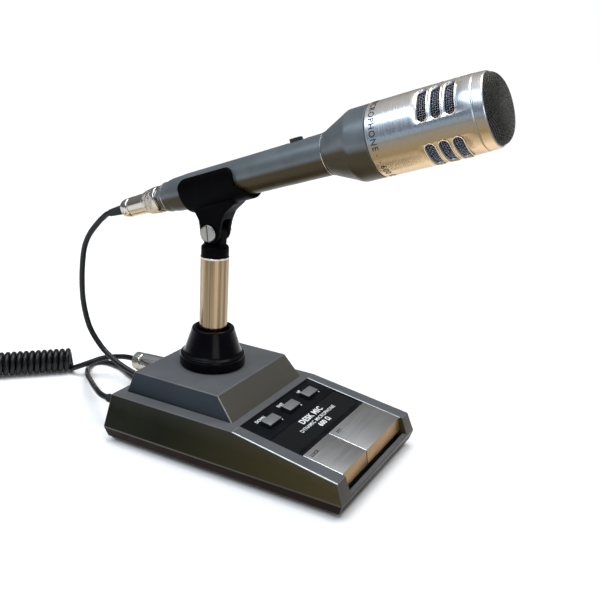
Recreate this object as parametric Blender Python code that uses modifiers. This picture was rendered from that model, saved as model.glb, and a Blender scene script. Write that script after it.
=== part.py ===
# Desk microphone: a dynamic microphone held in a tilting clip, on a post that
# stands on a heavy desk base with transmit keys and tuning buttons.
# Metres, +Z up, the keys face -Y. The base's own centre is the local origin.
import math

import bmesh
import bpy
import numpy as np
from mathutils import Matrix, Vector

MM = 0.001
GAP = 0.3 * MM

# ---- driving dimensions -------------------------------------------------
FRAME_SHIFT_Y = 25.9 * MM        # puts the whole object's middle on the origin

# base housing: half widths and depths at the bottom, the widest line and the rim
BASE_BOTTOM_HALF = 57.0 * MM
BASE_WIDE_HALF = 60.0 * MM
BASE_RIM_HALF = 56.6 * MM
BASE_WIDE_Z = 11.0 * MM
BASE_RIM_Z = 35.7 * MM
BASE_FRONT_BOTTOM = 88.9 * MM
BASE_FRONT_WIDE = 92.3 * MM
BASE_FRONT_RIM = 87.1 * MM
BASE_FRONT_RIM_Z = 24.2 * MM
BASE_REAR_BOTTOM = 88.7 * MM
BASE_REAR_WIDE = 92.3 * MM
BASE_REAR_RIM = 87.5 * MM
HOUSING_Z = 3.7 * MM
WALL = 2.6 * MM
SLOPE_WALL = 4.2 * MM
KINK_Y = -10.8 * MM              # where the level rim turns into the sloping deck
LEDGE_Z = 13.0 * MM              # top of the front wall under the keys
BAY_HALF = 47.0 * MM             # half width of the panel and key opening

# raised block that carries the post
HUMP_LOW_HALF = 47.0 * MM
HUMP_TOP_HALF = 44.8 * MM
HUMP_REAR_LOW = 81.7 * MM
HUMP_REAR_TOP = 76.9 * MM
HUMP_FRONT_LOW = 4.7 * MM        # ahead of the base's centre
HUMP_FRONT_TOP = -8.5 * MM       # behind it
HUMP_TOP_Z = 51.0 * MM

# deck distances are measured down the slope from the kink
PANEL_START = 0.3 * MM
PANEL_END = 46.2 * MM
PANEL_DROP = 0.8 * MM
PANEL_THICK = 1.7 * MM
NAME_START = 22.3 * MM
NAME_END = 42.8 * MM
BUTTON_X = (-27.0 * MM, -0.3 * MM, 26.4 * MM)
BUTTON_V = 11.9 * MM
BUTTON_SIZE = (14.6 * MM, 7.6 * MM)
BUTTON_RISE = 3.0 * MM
KEY_START = 46.9 * MM
KEY_END = 75.1 * MM
KEY_SPLIT_X = -10.9 * MM
KEY_DEPTH = 9.6 * MM
KEY_WALL = 1.6 * MM
HINGE_V = 50.6 * MM
HINGE_DROP = 6.0 * MM
HINGE_R = 1.5 * MM

# post
POST_Y = 42.8 * MM
POST_R = 9.85 * MM
POST_TOP_Z = 130.0 * MM
PIVOT_Z = 147.3 * MM
EAR_OUT = 8.2 * MM
EAR_IN = 4.0 * MM
EAR_R = 7.6 * MM

# microphone: distances along its axis are measured from the post's centre line
MIC_RISE_DEG = 19.7
MIC_Z = 179.5 * MM
CLIP_BORE_R = 12.85 * MM
CLIP_R = 15.2 * MM

# plugs and cords
CABLE_R = 2.1 * MM
LEAD_R = 2.25 * MM
CURLY_R = 10.0 * MM
SOCKET_X = 28.0 * MM
SOCKET_Z = 21.0 * MM
GLAND_X = -42.0 * MM
GLAND_Z = 23.0 * MM

ROUND = 32                       # facets round a large turned piece
SMALL_ROUND = 20
SLOPE = math.atan2(BASE_RIM_Z - BASE_FRONT_RIM_Z, KINK_Y + BASE_FRONT_RIM)
RISE = math.radians(MIC_RISE_DEG)

# colour, metallic value and roughness of each finish
FINISHES = {
    "grey_paint": ((0.16, 0.17, 0.18), 0.3, 0.45),
    "handle_paint": ((0.11, 0.14, 0.16), 0.5, 0.38),
    "black_plastic": ((0.015, 0.015, 0.017), 0.0, 0.35),
    "panel_black": ((0.012, 0.016, 0.018), 0.0, 0.3),
    "satin_metal": ((0.62, 0.6, 0.57), 1.0, 0.32),
    "chrome": ((0.75, 0.75, 0.75), 1.0, 0.12),
    "steel": ((0.45, 0.45, 0.45), 1.0, 0.4),
    "brass": ((0.6, 0.45, 0.2), 1.0, 0.35),
    "rubber": ((0.02, 0.02, 0.02), 0.0, 0.7),
    "screen": ((0.02, 0.02, 0.022), 0.4, 0.6),
    "board_green": ((0.04, 0.16, 0.07), 0.0, 0.5),
    "cord_black": ((0.01, 0.01, 0.011), 0.0, 0.3),
}

for old in list(bpy.data.objects):
    bpy.data.objects.remove(old, do_unlink=True)

parts = bpy.data.collections.new("desk_microphone")
cutters = bpy.data.collections.new("cutters")
for collection in (parts, cutters):
    bpy.context.scene.collection.children.link(collection)

# ---- helpers ------------------------------------------------------------


def make_material(name, finish):
    colour, metallic, roughness = FINISHES[finish]
    material = bpy.data.materials.new(name)
    material.use_nodes = True
    shader = material.node_tree.nodes["Principled BSDF"]
    shader.inputs["Base Color"].default_value = (*colour, 1.0)
    shader.inputs["Metallic"].default_value = metallic
    shader.inputs["Roughness"].default_value = roughness
    material.diffuse_color = (*colour, 1.0)
    return material


def make_empty(name, parent=None, location=(0, 0, 0), tilt=0.0):
    empty = bpy.data.objects.new(name, None)
    parts.objects.link(empty)
    empty.parent = parent
    empty.location = location
    empty.rotation_euler = (tilt, 0, 0)
    return empty


def add_part(name, data, finish, parent, location=(0, 0, 0)):
    piece = bpy.data.objects.new(name, data)
    parts.objects.link(piece)
    piece.parent = parent
    piece.location = location
    piece.data.materials.append(make_material(name, finish))
    return piece


def add_cutter(name, mesh, parent, location=(0, 0, 0)):
    cutter = bpy.data.objects.new(name, mesh)
    cutters.objects.link(cutter)
    cutter.parent = parent
    cutter.location = location
    cutter.hide_render = True
    cutter.display_type = "WIRE"
    return cutter


def boolean(piece, cutter, operation="DIFFERENCE"):
    modifier = piece.modifiers.new(cutter.name, "BOOLEAN")
    modifier.operation = operation
    modifier.solver = "EXACT"
    modifier.object = cutter


def soften(piece, width, segments=1, angle=40):
    modifier = piece.modifiers.new("edges", "BEVEL")
    modifier.width = width
    modifier.segments = segments
    modifier.limit_method = "ANGLE"
    modifier.angle_limit = math.radians(angle)


def block_mesh(low, high, cuts=()):
    """A box between two corners, with the outside of each cut plane taken off."""
    low, high = Vector(low), Vector(high)
    grid = bmesh.new()
    bmesh.ops.create_cube(grid, size=1.0)
    size = high - low
    middle = (high + low) / 2
    for vert in grid.verts:
        vert.co = Vector((vert.co.x * size.x, vert.co.y * size.y, vert.co.z * size.z)) + middle
    for point, normal in cuts:
        geometry = grid.verts[:] + grid.edges[:] + grid.faces[:]
        result = bmesh.ops.bisect_plane(
            grid, geom=geometry, dist=1e-7, plane_co=point, plane_no=normal, clear_outer=True)
        rim = [item for item in result["geom_cut"] if isinstance(item, bmesh.types.BMEdge)]
        if rim:
            bmesh.ops.contextual_create(grid, geom=rim)
    bmesh.ops.recalc_face_normals(grid, faces=grid.faces)
    mesh = bpy.data.meshes.new("block")
    grid.to_mesh(mesh)
    grid.free()
    return mesh


def wall_cut(axis, sign, start, end, inset=0.0):
    """The plane of a sloping wall that goes from (distance, z) to (distance, z)."""
    run, rise = end[0] - start[0], end[1] - start[1]
    normal = Vector((0, 0, 0))
    normal[axis] = sign * rise
    normal.z = -run
    normal.normalize()
    point = Vector((0, 0, start[1]))
    point[axis] = sign * start[0]
    return point - normal * inset, normal


def round_mesh(radius, low, high, facets=SMALL_ROUND, axis="Z"):
    """A cylinder along an axis, between two places on it."""
    grid = bmesh.new()
    bmesh.ops.create_cone(grid, cap_ends=True, segments=facets, radius1=radius, radius2=radius,
                          depth=high - low)
    bmesh.ops.translate(grid, verts=grid.verts, vec=(0, 0, (high + low) / 2))
    turn = {"X": Matrix.Rotation(math.pi / 2, 4, "Y"),
            "Y": Matrix.Rotation(-math.pi / 2, 4, "X"),
            "Z": Matrix.Identity(4)}[axis]
    bmesh.ops.transform(grid, matrix=turn, verts=grid.verts)
    mesh = bpy.data.meshes.new("round")
    grid.to_mesh(mesh)
    grid.free()
    return mesh


def turned(name, profile, finish, parent, location=(0, 0, 0), facets=ROUND, closed=False):
    """A profile of (radius, height) pairs in mm, from top to bottom, turned about Z."""
    mesh = bpy.data.meshes.new(name)
    points = [(radius * MM, 0, height * MM) for radius, height in profile]
    edges = [(i, i + 1) for i in range(len(points) - 1)]
    if closed:
        edges.append((len(points) - 1, 0))
    mesh.from_pydata(points, edges, [])
    piece = add_part(name, mesh, finish, parent, location)
    screw = piece.modifiers.new("turn", "SCREW")
    screw.steps = facets
    screw.render_steps = facets
    screw.use_merge_vertices = True
    screw.merge_threshold = 0.00001
    screw.use_smooth_shade = False
    return piece


def outline_mesh(points, low, high, facing="Z"):
    """A flat outline made a plate; facing X means that the outline is in Y and Z."""
    curve = bpy.data.curves.new("outline", "CURVE")
    curve.dimensions = "2D"
    curve.fill_mode = "BOTH"
    curve.extrude = (high - low) / 2
    spline = curve.splines.new("POLY")
    spline.points.add(len(points) - 1)
    for target, point in zip(spline.points, points):
        target.co = (point[0], point[1], 0, 1)
    spline.use_cyclic_u = True
    holder = bpy.data.objects.new("outline", curve)
    bpy.context.scene.collection.objects.link(holder)
    graph = bpy.context.evaluated_depsgraph_get()
    mesh = bpy.data.meshes.new_from_object(holder.evaluated_get(graph))
    bpy.data.objects.remove(holder, do_unlink=True)
    grid = bmesh.new()
    grid.from_mesh(mesh)
    bmesh.ops.remove_doubles(grid, verts=grid.verts, dist=1e-6)
    bmesh.ops.translate(grid, verts=grid.verts, vec=(0, 0, (high + low) / 2))
    if facing == "X":
        turn = Matrix(((0, 0, 1, 0), (1, 0, 0, 0), (0, 1, 0, 0), (0, 0, 0, 1)))
        bmesh.ops.transform(grid, matrix=turn, verts=grid.verts)
    bmesh.ops.recalc_face_normals(grid, faces=grid.faces)
    grid.to_mesh(mesh)
    grid.free()
    return mesh


def arc(centre, radius, start, end, steps):
    angles = np.radians(np.linspace(start, end, steps + 1))
    return [(centre[0] + radius * math.cos(a), centre[1] + radius * math.sin(a)) for a in angles]


def smooth_route(route, count):
    """Evenly spaced points on a smooth curve through a route's own points."""
    knots = np.array([route[0], *route, route[-1]], float) * MM
    knots[0] = 2 * knots[1] - knots[2]
    knots[-1] = 2 * knots[-2] - knots[-3]
    fine = []
    for i in range(1, len(knots) - 2):
        before, start, end, after = knots[i - 1:i + 3]
        for t in np.linspace(0, 1, 24, endpoint=False):
            fine.append(0.5 * (2 * start + (end - before) * t
                               + (2 * before - 5 * start + 4 * end - after) * t ** 2
                               + (3 * start - before - 3 * end + after) * t ** 3))
    fine.append(knots[-2])
    fine = np.array(fine)
    steps = np.linalg.norm(np.diff(fine, axis=0), axis=1)
    along = np.concatenate([[0], np.cumsum(steps)])
    wanted = np.linspace(0, along[-1], count)
    return np.array([np.interp(wanted, along, fine[:, k]) for k in range(3)]).T


def cord(name, route, count, radius, finish, resolution=2):
    curve = bpy.data.curves.new(name, "CURVE")
    curve.dimensions = "3D"
    curve.bevel_depth = radius
    curve.bevel_resolution = resolution
    curve.use_fill_caps = True
    spline = curve.splines.new("POLY")
    points = smooth_route(route, count)
    spline.points.add(len(points) - 1)
    for target, point in zip(spline.points, points):
        target.co = (*point, 1)
    return add_part(name, curve, finish, root)


def coil_spring(name, radius, wire, low, high, turns, parent, location):
    curve = bpy.data.curves.new(name, "CURVE")
    curve.dimensions = "3D"
    curve.bevel_depth = wire
    curve.bevel_resolution = 1
    curve.use_fill_caps = True
    spline = curve.splines.new("POLY")
    per_turn = 12
    count = turns * per_turn + 1
    spline.points.add(count - 1)
    for i, target in enumerate(spline.points):
        angle = 2 * math.pi * i / per_turn
        height = low + wire + (high - low - 2 * wire) * i / (count - 1)
        target.co = (radius * math.cos(angle), radius * math.sin(angle), height, 1)
    return add_part(name, curve, "steel", parent, location)


def deck_z(y):
    """Height of the sloping deck at a distance y behind the base's centre."""
    return BASE_RIM_Z - (KINK_Y - y) * math.tan(SLOPE)


# ---- frames -------------------------------------------------------------
root = make_empty("base_frame", location=(0, FRAME_SHIFT_Y, 0))
deck = make_empty("deck_frame", root, (0, KINK_Y, BASE_RIM_Z), SLOPE)
pivot = make_empty("tilt_pivot", root, (0, POST_Y, PIVOT_Z))
mic = make_empty("microphone_axis", pivot, (0, 0, MIC_Z - PIVOT_Z), math.pi / 2 - RISE)


def outer_cuts(inset=0.0, slope_inset=0.0):
    low, wide, rim = BASE_BOTTOM_HALF, BASE_WIDE_HALF, BASE_RIM_HALF
    cuts = []
    for sign in (-1, 1):
        cuts.append(wall_cut(0, sign, (low, 0), (wide, BASE_WIDE_Z), inset))
        cuts.append(wall_cut(0, sign, (wide, BASE_WIDE_Z), (rim, BASE_RIM_Z), inset))
    front_low, front_wide = (BASE_FRONT_BOTTOM, 0), (BASE_FRONT_WIDE, BASE_WIDE_Z)
    rear_low, rear_wide = (BASE_REAR_BOTTOM, 0), (BASE_REAR_WIDE, BASE_WIDE_Z)
    cuts.append(wall_cut(1, -1, front_low, front_wide, inset))
    cuts.append(wall_cut(1, -1, front_wide, (BASE_FRONT_RIM, BASE_FRONT_RIM_Z), inset))
    cuts.append(wall_cut(1, 1, rear_low, rear_wide, inset))
    cuts.append(wall_cut(1, 1, rear_wide, (BASE_REAR_RIM, BASE_RIM_Z), inset))
    down_slope = Vector((0, -math.sin(SLOPE), math.cos(SLOPE)))
    cuts.append((Vector((0, KINK_Y, BASE_RIM_Z)) - down_slope * slope_inset, down_slope))
    return cuts


def hump_cuts(inset=0.0):
    cuts = []
    for sign in (-1, 1):
        cuts.append(wall_cut(0, sign, (HUMP_LOW_HALF, BASE_RIM_Z), (HUMP_TOP_HALF, HUMP_TOP_Z), inset))
    cuts.append(wall_cut(1, 1, (HUMP_REAR_LOW, BASE_RIM_Z), (HUMP_REAR_TOP, HUMP_TOP_Z), inset))
    cuts.append(wall_cut(1, -1, (HUMP_FRONT_LOW, BASE_RIM_Z), (HUMP_FRONT_TOP, HUMP_TOP_Z), inset))
    return cuts


# ---- base ---------------------------------------------------------------
def make_housing():
    reach = 0.1
    body = block_mesh((-reach, -reach, HOUSING_Z), (reach, reach, BASE_RIM_Z), outer_cuts())
    housing = add_part("base_housing", body, "grey_paint", root)
    hump = block_mesh((-reach, -reach, 33 * MM), (reach, reach, HUMP_TOP_Z), hump_cuts())
    boolean(housing, add_cutter("hump", hump, root), "UNION")
    soften(housing, 0.6 * MM, angle=20)
    bay_rear = KINK_Y - (PANEL_END + GAP) * math.cos(SLOPE)
    room = block_mesh((-reach, bay_rear, -0.01), (reach, reach, BASE_RIM_Z - WALL),
                      outer_cuts(WALL, SLOPE_WALL))
    boolean(housing, add_cutter("room", room, root))
    hump_room = block_mesh((-reach, -reach, 20 * MM), (reach, reach, HUMP_TOP_Z - WALL), hump_cuts(WALL))
    boolean(housing, add_cutter("hump_room", hump_room, root))
    recess = block_mesh((-BAY_HALF, -PANEL_END - 0.6 * MM, -PANEL_DROP - PANEL_THICK - GAP),
                        (BAY_HALF, -PANEL_START + GAP, 0.02))
    boolean(housing, add_cutter("panel_recess", recess, deck))
    inset = 3 * MM
    window = block_mesh((-BAY_HALF + inset, -PANEL_END - 0.6 * MM, -0.02),
                        (BAY_HALF - inset, -PANEL_START - inset, 0.02))
    boolean(housing, add_cutter("panel_window", window, deck))
    bay = block_mesh((-BAY_HALF, -0.12, LEDGE_Z), (BAY_HALF, bay_rear + 0.5 * MM, 0.06))
    boolean(housing, add_cutter("key_bay", bay, root))
    under = block_mesh((-BAY_HALF, -reach, -0.01), (BAY_HALF, bay_rear + 0.5 * MM, LEDGE_Z + 1 * MM),
                       outer_cuts(WALL))
    boolean(housing, add_cutter("under_keys", under, root))
    hole = round_mesh(POST_R + 0.4 * MM, 40 * MM, 60 * MM, ROUND)
    boolean(housing, add_cutter("post_hole", hole, root, (0, POST_Y, 0)))
    socket_hole = round_mesh(7.8 * MM, 80 * MM, 100 * MM, SMALL_ROUND, "Y")
    boolean(housing, add_cutter("socket_hole", socket_hole, root, (SOCKET_X, 0, SOCKET_Z)))
    gland_hole = round_mesh(3.9 * MM, 80 * MM, 100 * MM, 16, "Y")
    boolean(housing, add_cutter("gland_hole", gland_hole, root, (GLAND_X, 0, GLAND_Z)))


def make_underside():
    plate = block_mesh((-56.4 * MM, -88 * MM, 2.0 * MM), (56.4 * MM, 88 * MM, 3.4 * MM))
    soften(add_part("bottom_plate", plate, "steel", root), 0.4 * MM)
    ballast = block_mesh((-42 * MM, 2 * MM, 3.7 * MM), (42 * MM, 80 * MM, 12 * MM))
    soften(add_part("ballast_plate", ballast, "steel", root), 1.0 * MM)
    number = 0
    for x in (-44, 44):
        for y in (-76, 76):
            number += 1
            foot = round_mesh(6.5 * MM, 0, 1.7 * MM, SMALL_ROUND)
            add_part("foot_%d" % number, foot, "rubber", root, (x * MM, y * MM, 0))


def make_panel():
    plate = block_mesh((-BAY_HALF + GAP, -PANEL_END, -PANEL_DROP - PANEL_THICK),
                       (BAY_HALF - GAP, -PANEL_START - GAP, -PANEL_DROP))
    panel = add_part("control_panel", plate, "panel_black", deck)
    soften(panel, 0.25 * MM)
    for index, x in enumerate(BUTTON_X):
        half_x, half_v = BUTTON_SIZE[0] / 2 + 0.4 * MM, BUTTON_SIZE[1] / 2 + 0.4 * MM
        hole = block_mesh((x - half_x, -BUTTON_V - half_v, -0.02), (x + half_x, -BUTTON_V + half_v, 0.02))
        boolean(panel, add_cutter("button_hole_%d" % index, hole, deck))
    sunk = PANEL_DROP + 0.8 * MM
    pocket = block_mesh((-BAY_HALF + 1.2 * MM, -NAME_END, -sunk), (BAY_HALF - 1.2 * MM, -NAME_START, 0.02))
    boolean(panel, add_cutter("name_pocket", pocket, deck))
    edge = 1.2 * MM + GAP
    card = block_mesh((-BAY_HALF + edge, -NAME_END + GAP, -sunk + 0.1 * MM),
                      (BAY_HALF - edge, -NAME_START - GAP, -sunk + 0.6 * MM))
    add_part("name_plate", card, "panel_black", deck)


def make_buttons():
    board = block_mesh((-42 * MM, -42 * MM, -13.4 * MM), (42 * MM, -4 * MM, -11.8 * MM))
    add_part("circuit_board", board, "board_green", deck)
    for label, x in zip(("down", "fast", "up"), BUTTON_X):
        half_x, half_v = BUTTON_SIZE[0] / 2, BUTTON_SIZE[1] / 2
        cap = block_mesh((-half_x, -half_v, -PANEL_DROP - 1.9 * MM), (half_x, half_v, BUTTON_RISE - PANEL_DROP))
        button = add_part(label + "_button", cap, "satin_metal", deck, (x, -BUTTON_V, 0))
        soften(button, 0.4 * MM)
        stem = round_mesh(1.5 * MM, -8.6 * MM, -2 * MM, 12)
        boolean(button, add_cutter(label + "_stem", stem, deck, (x, -BUTTON_V, 0)), "UNION")
        body = block_mesh((-3 * MM, -3 * MM, -11.5 * MM), (3 * MM, 3 * MM, -7.0 * MM))
        switch = add_part(label + "_switch", body, "black_plastic", deck, (x, -BUTTON_V, 0))
        well = round_mesh(1.9 * MM, -10.4 * MM, -5 * MM, 12)
        boolean(switch, add_cutter(label + "_well", well, deck, (x, -BUTTON_V, 0)))


# the keys' own origin is the hinge rod; distances below are from the rod's centre
def make_key(label, x_low, x_high):
    hinge = (0, -HINGE_V, -HINGE_DROP)
    slant = KEY_DEPTH * math.tan(math.radians(18))
    rear, front = HINGE_V - KEY_START, HINGE_V - KEY_END
    leaning = (Vector((0, front, HINGE_DROP)), Vector((0, -KEY_DEPTH, slant)).normalized())
    cap = block_mesh((x_low, front - slant, HINGE_DROP - KEY_DEPTH), (x_high, rear, HINGE_DROP), [leaning])
    key = add_part(label + "_key", cap, "satin_metal", deck, hinge)
    soften(key, 0.4 * MM)
    inner_lean = (leaning[0] - leaning[1] * KEY_WALL, leaning[1])
    hollow = block_mesh((x_low + KEY_WALL, front - slant, -0.03),
                        (x_high - KEY_WALL, rear - KEY_WALL, HINGE_DROP - KEY_WALL), [inner_lean])
    boolean(key, add_cutter(label + "_hollow", hollow, deck, hinge))
    hole = round_mesh(HINGE_R + 0.2 * MM, -0.06, 0.06, 16, "X")
    boolean(key, add_cutter(label + "_rod_hole", hole, deck, hinge))


def make_switchgear():
    rod = round_mesh(HINGE_R, -BAY_HALF + GAP, BAY_HALF - GAP, 16, "X")
    add_part("key_hinge_rod", rod, "steel", deck, (0, -HINGE_V, -HINGE_DROP))
    make_key("lock", -BAY_HALF + 0.4 * MM, KEY_SPLIT_X - 0.3 * MM)
    make_key("ptt", KEY_SPLIT_X + 0.3 * MM, BAY_HALF - 0.4 * MM)
    bracket_top = 9.0 * MM
    bracket = block_mesh((-44 * MM, -84 * MM, 3.7 * MM), (44 * MM, -66 * MM, bracket_top))
    channel = add_part("switch_bracket", bracket, "steel", root)
    tunnel = block_mesh((-41 * MM, -90 * MM, 0), (41 * MM, -60 * MM, bracket_top - 1.2 * MM))
    boolean(channel, add_cutter("bracket_tunnel", tunnel, root))
    press_y = -76 * MM
    under_key = deck_z(press_y) - KEY_WALL / math.cos(SLOPE) - 0.8 * MM
    for label, switch_x, spring_x in (("lock", -35 * MM, -21 * MM), ("ptt", 8 * MM, 30 * MM)):
        body = block_mesh((-6 * MM, -3.2 * MM, bracket_top + GAP), (6 * MM, 3.2 * MM, 17 * MM))
        switch = add_part(label + "_microswitch", body, "black_plastic", root, (switch_x, press_y, 0))
        soften(switch, 0.4 * MM)
        well = round_mesh(1.4 * MM, 11.5 * MM, 20 * MM, 12)
        boolean(switch, add_cutter(label + "_switch_well", well, root, (switch_x, press_y, 0)))
        plunger = round_mesh(1.0 * MM, 13.6 * MM, under_key, 12)
        add_part(label + "_plunger", plunger, "brass", root, (switch_x, press_y, 0))
        coil_spring(label + "_spring", 3.0 * MM, 0.4 * MM, bracket_top + GAP, under_key, 5, root,
                    (spring_x, press_y, 0))


def make_rear_fittings():
    facing_rear = -math.pi / 2
    socket = turned("rear_socket", [(0, 94.5), (6.6, 94.5), (6.6, 91.2), (7.4, 91.2), (7.4, 84), (0, 84)],
                    "chrome", root, (SOCKET_X, 0, SOCKET_Z), SMALL_ROUND)
    gland = turned("cable_gland", [(0, 104), (2.7, 104), (3.6, 92), (3.6, 86), (0, 86)],
                   "rubber", root, (GLAND_X, 0, GLAND_Z), 16)
    ring = turned("lead_plug_ring", [(9.3, 107.5), (9.5, 106.5), (9.5, 98), (9.2, 95.2), (7.0, 95.2), (7.0, 107.5)],
                  "chrome", root, (SOCKET_X, 0, SOCKET_Z), ROUND, closed=True)
    barrel = turned("lead_plug_barrel", [(0, 127), (7.4, 127), (8.4, 110), (8.4, 107.8), (6.6, 107.8),
                                         (6.6, 94.8), (0, 94.8)],
                    "chrome", root, (SOCKET_X, 0, SOCKET_Z), SMALL_ROUND)
    clamp = turned("lead_plug_clamp", [(0, 136), (5.2, 136), (7.2, 134.5), (7.2, 128.4), (6.5, 127.3), (0, 127.3)],
                   "chrome", root, (SOCKET_X, 0, SOCKET_Z), SMALL_ROUND)
    for piece in (socket, gland, ring, barrel, clamp):
        piece.rotation_euler = (facing_rear, 0, 0)


# ---- post ---------------------------------------------------------------
def make_post():
    foot = (0, POST_Y, 0)
    bore = POST_R / MM + 0.3
    nut_bore = bore / math.cos(math.pi / 6)
    radius = POST_R / MM
    turned("post_tube", [(radius, 130), (radius, 37), (radius - 1.5, 37), (radius - 1.5, 130)],
           "satin_metal", root, foot, ROUND, closed=True)
    turned("post_nut", [(15, 48.1), (15, 41.5), (nut_bore, 41.5), (nut_bore, 48.1)], "steel", root, foot,
           6, closed=True)
    turned("post_boot", [(13.6, 79.0), (14.7, 78.2), (15.2, 76.6), (20.3, 61.4), (22.2, 60.4), (23.2, 59.2),
                         (23.2, 52.2), (22.6, 51.3), (bore, 51.3), (bore, 76.2), (12.6, 78.4)],
           "black_plastic", root, foot, ROUND, closed=True)
    knuckle = turned("swivel_knuckle", [(0, 139.2), (7.4, 139.2), (7.7, 138.6), (8.6, 137.6), (9.5, 136.6),
                                        (9.5, 130.3), (8.0, 130.3), (8.0, 121), (0, 121)],
                     "black_plastic", root, foot, ROUND)
    tongue = outline_mesh(arc((0, PIVOT_Z), 7.0 * MM, 0, 180, 12) + [(-7.0 * MM, 138 * MM), (7.0 * MM, 138 * MM)],
                          -EAR_IN + GAP, EAR_IN - GAP, "X")
    boolean(knuckle, add_cutter("tongue", tongue, root, foot), "UNION")
    hole = round_mesh(2.8 * MM, -0.02, 0.02, 16, "X")
    boolean(knuckle, add_cutter("tongue_hole", hole, root, (0, POST_Y, PIVOT_Z)))
    seat = round_mesh(1.5 * MM, 7.6 * MM, 12 * MM, 12, "Y")
    turn = math.radians(28)
    seat_cutter = add_cutter("grub_seat", seat, root, (0, POST_Y, 134 * MM))
    seat_cutter.rotation_euler = (0, 0, math.pi + turn)
    boolean(knuckle, seat_cutter)
    grub = add_part("collar_screw", round_mesh(1.2 * MM, 8.0 * MM, 9.7 * MM, 12, "Y"), "chrome", root,
                    (0, POST_Y, 134 * MM))
    grub.rotation_euler = (0, 0, math.pi + turn)


# ---- clip and pivot -----------------------------------------------------
def make_clip():
    ear = [(7.6 * MM, 1.5 * MM), (9.0 * MM, 8 * MM), (12.2 * MM, 12.5 * MM), (15 * MM, 15.5 * MM),
           (14 * MM, 24 * MM), (-10 * MM, 30 * MM), (-19 * MM, 22.5 * MM), (-11.6 * MM, 15.2 * MM),
           (-8.9 * MM, 8.6 * MM), (-7.6 * MM, 1.5 * MM)]
    outline = arc((0, 0), EAR_R, 180, 360, 14) + ear
    clip = add_part("mic_clip", outline_mesh(outline, -EAR_OUT, EAR_OUT, "X"), "black_plastic", pivot)
    cradle = round_mesh(CLIP_R, -22 * MM, 31 * MM, ROUND)
    boolean(clip, add_cutter("cradle", cradle, mic), "UNION")
    bore = round_mesh(CLIP_BORE_R, -60 * MM, 60 * MM, ROUND)
    boolean(clip, add_cutter("cradle_bore", bore, mic))
    mouth = block_mesh((-0.03, 8.7 * MM, -0.06), (0.03, 0.04, 0.06))
    boolean(clip, add_cutter("cradle_mouth", mouth, mic))
    lip = block_mesh((-0.03, -8.5 * MM, 23 * MM), (0.03, 0.04, 0.06),
                     [(Vector((0, -4.0 * MM, 23 * MM)), Vector((0, -0.8, -0.6)))])
    boolean(clip, add_cutter("cradle_front", lip, mic))
    fork = block_mesh((-EAR_IN, -0.03, -0.02), (EAR_IN, 0.03, 9.5 * MM))
    boolean(clip, add_cutter("fork", fork, pivot))
    hole = round_mesh(2.8 * MM, -0.02, 0.02, 16, "X")
    boolean(clip, add_cutter("ear_hole", hole, pivot))
    screw = turned("pivot_screw", [(0, 10.3), (4.6, 10.3), (5.6, 9.5), (5.6, 8.5), (2.5, 8.5), (2.5, -13.6), (0, -13.6)],
                   "chrome", pivot, facets=24)
    screw.rotation_euler = (0, -math.pi / 2, 0)
    slot = block_mesh((-10.6 * MM, -0.01, -0.6 * MM), (-9.5 * MM, 0.01, 0.6 * MM))
    boolean(screw, add_cutter("screw_slot", slot, pivot))
    nut = outline_mesh(arc((0, 0), 5.2 * MM, 0, 300, 5), 8.5 * MM, 12.4 * MM, "X")
    nut_part = add_part("pivot_nut", nut, "chrome", pivot)
    nut_hole = round_mesh(2.8 * MM, -0.02, 0.02, 16, "X")
    boolean(nut_part, add_cutter("nut_hole", nut_hole, pivot))


# ---- microphone ---------------------------------------------------------
def make_handle():
    handle = turned("handle_tube", [(13.2, 87.7), (12.5, 32), (12.1, -20), (11.4, -33), (10.2, -42), (9.2, -45.5),
                                    (7.9, -45.5), (7.9, -40), (10.2, -26), (10.9, 32), (11.7, 87.7)],
                    "handle_paint", mic, facets=ROUND, closed=True)
    slot = block_mesh((-3.0 * MM, 0, 60.5 * MM), (3.0 * MM, 0.02, 75.5 * MM))
    boolean(handle, add_cutter("switch_slot", slot, mic))
    turned("head_adapter", [(22.1, 121.7), (22.0, 108.6), (21.3, 106.4), (20.3, 104.2), (13.9, 89.2), (13.2, 88.0),
                            (11.7, 88.0), (18.6, 105.5), (20.2, 108.6), (20.2, 121.7)],
           "handle_paint", mic, facets=ROUND, closed=True)
    body = block_mesh((-5 * MM, 2 * MM, 57 * MM), (5 * MM, 9.2 * MM, 79 * MM))
    add_part("switch_body", body, "black_plastic", mic)
    knob = block_mesh((-2.6 * MM, 9.6 * MM, 63.2 * MM), (2.6 * MM, 15.0 * MM, 70.8 * MM))
    soften(add_part("switch_knob", knob, "black_plastic", mic), 0.6 * MM)
    core = block_mesh((-6 * MM, -6 * MM, 12 * MM), (6 * MM, 6 * MM, 36 * MM))
    soften(add_part("transformer", core, "steel", mic), 0.8 * MM)
    turned("mic_connector", [(0, -37), (7.5, -37), (7.5, -46.5), (6.8, -47.2), (6.8, -56.5), (0, -56.5)],
           "chrome", mic, facets=SMALL_ROUND)


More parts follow.
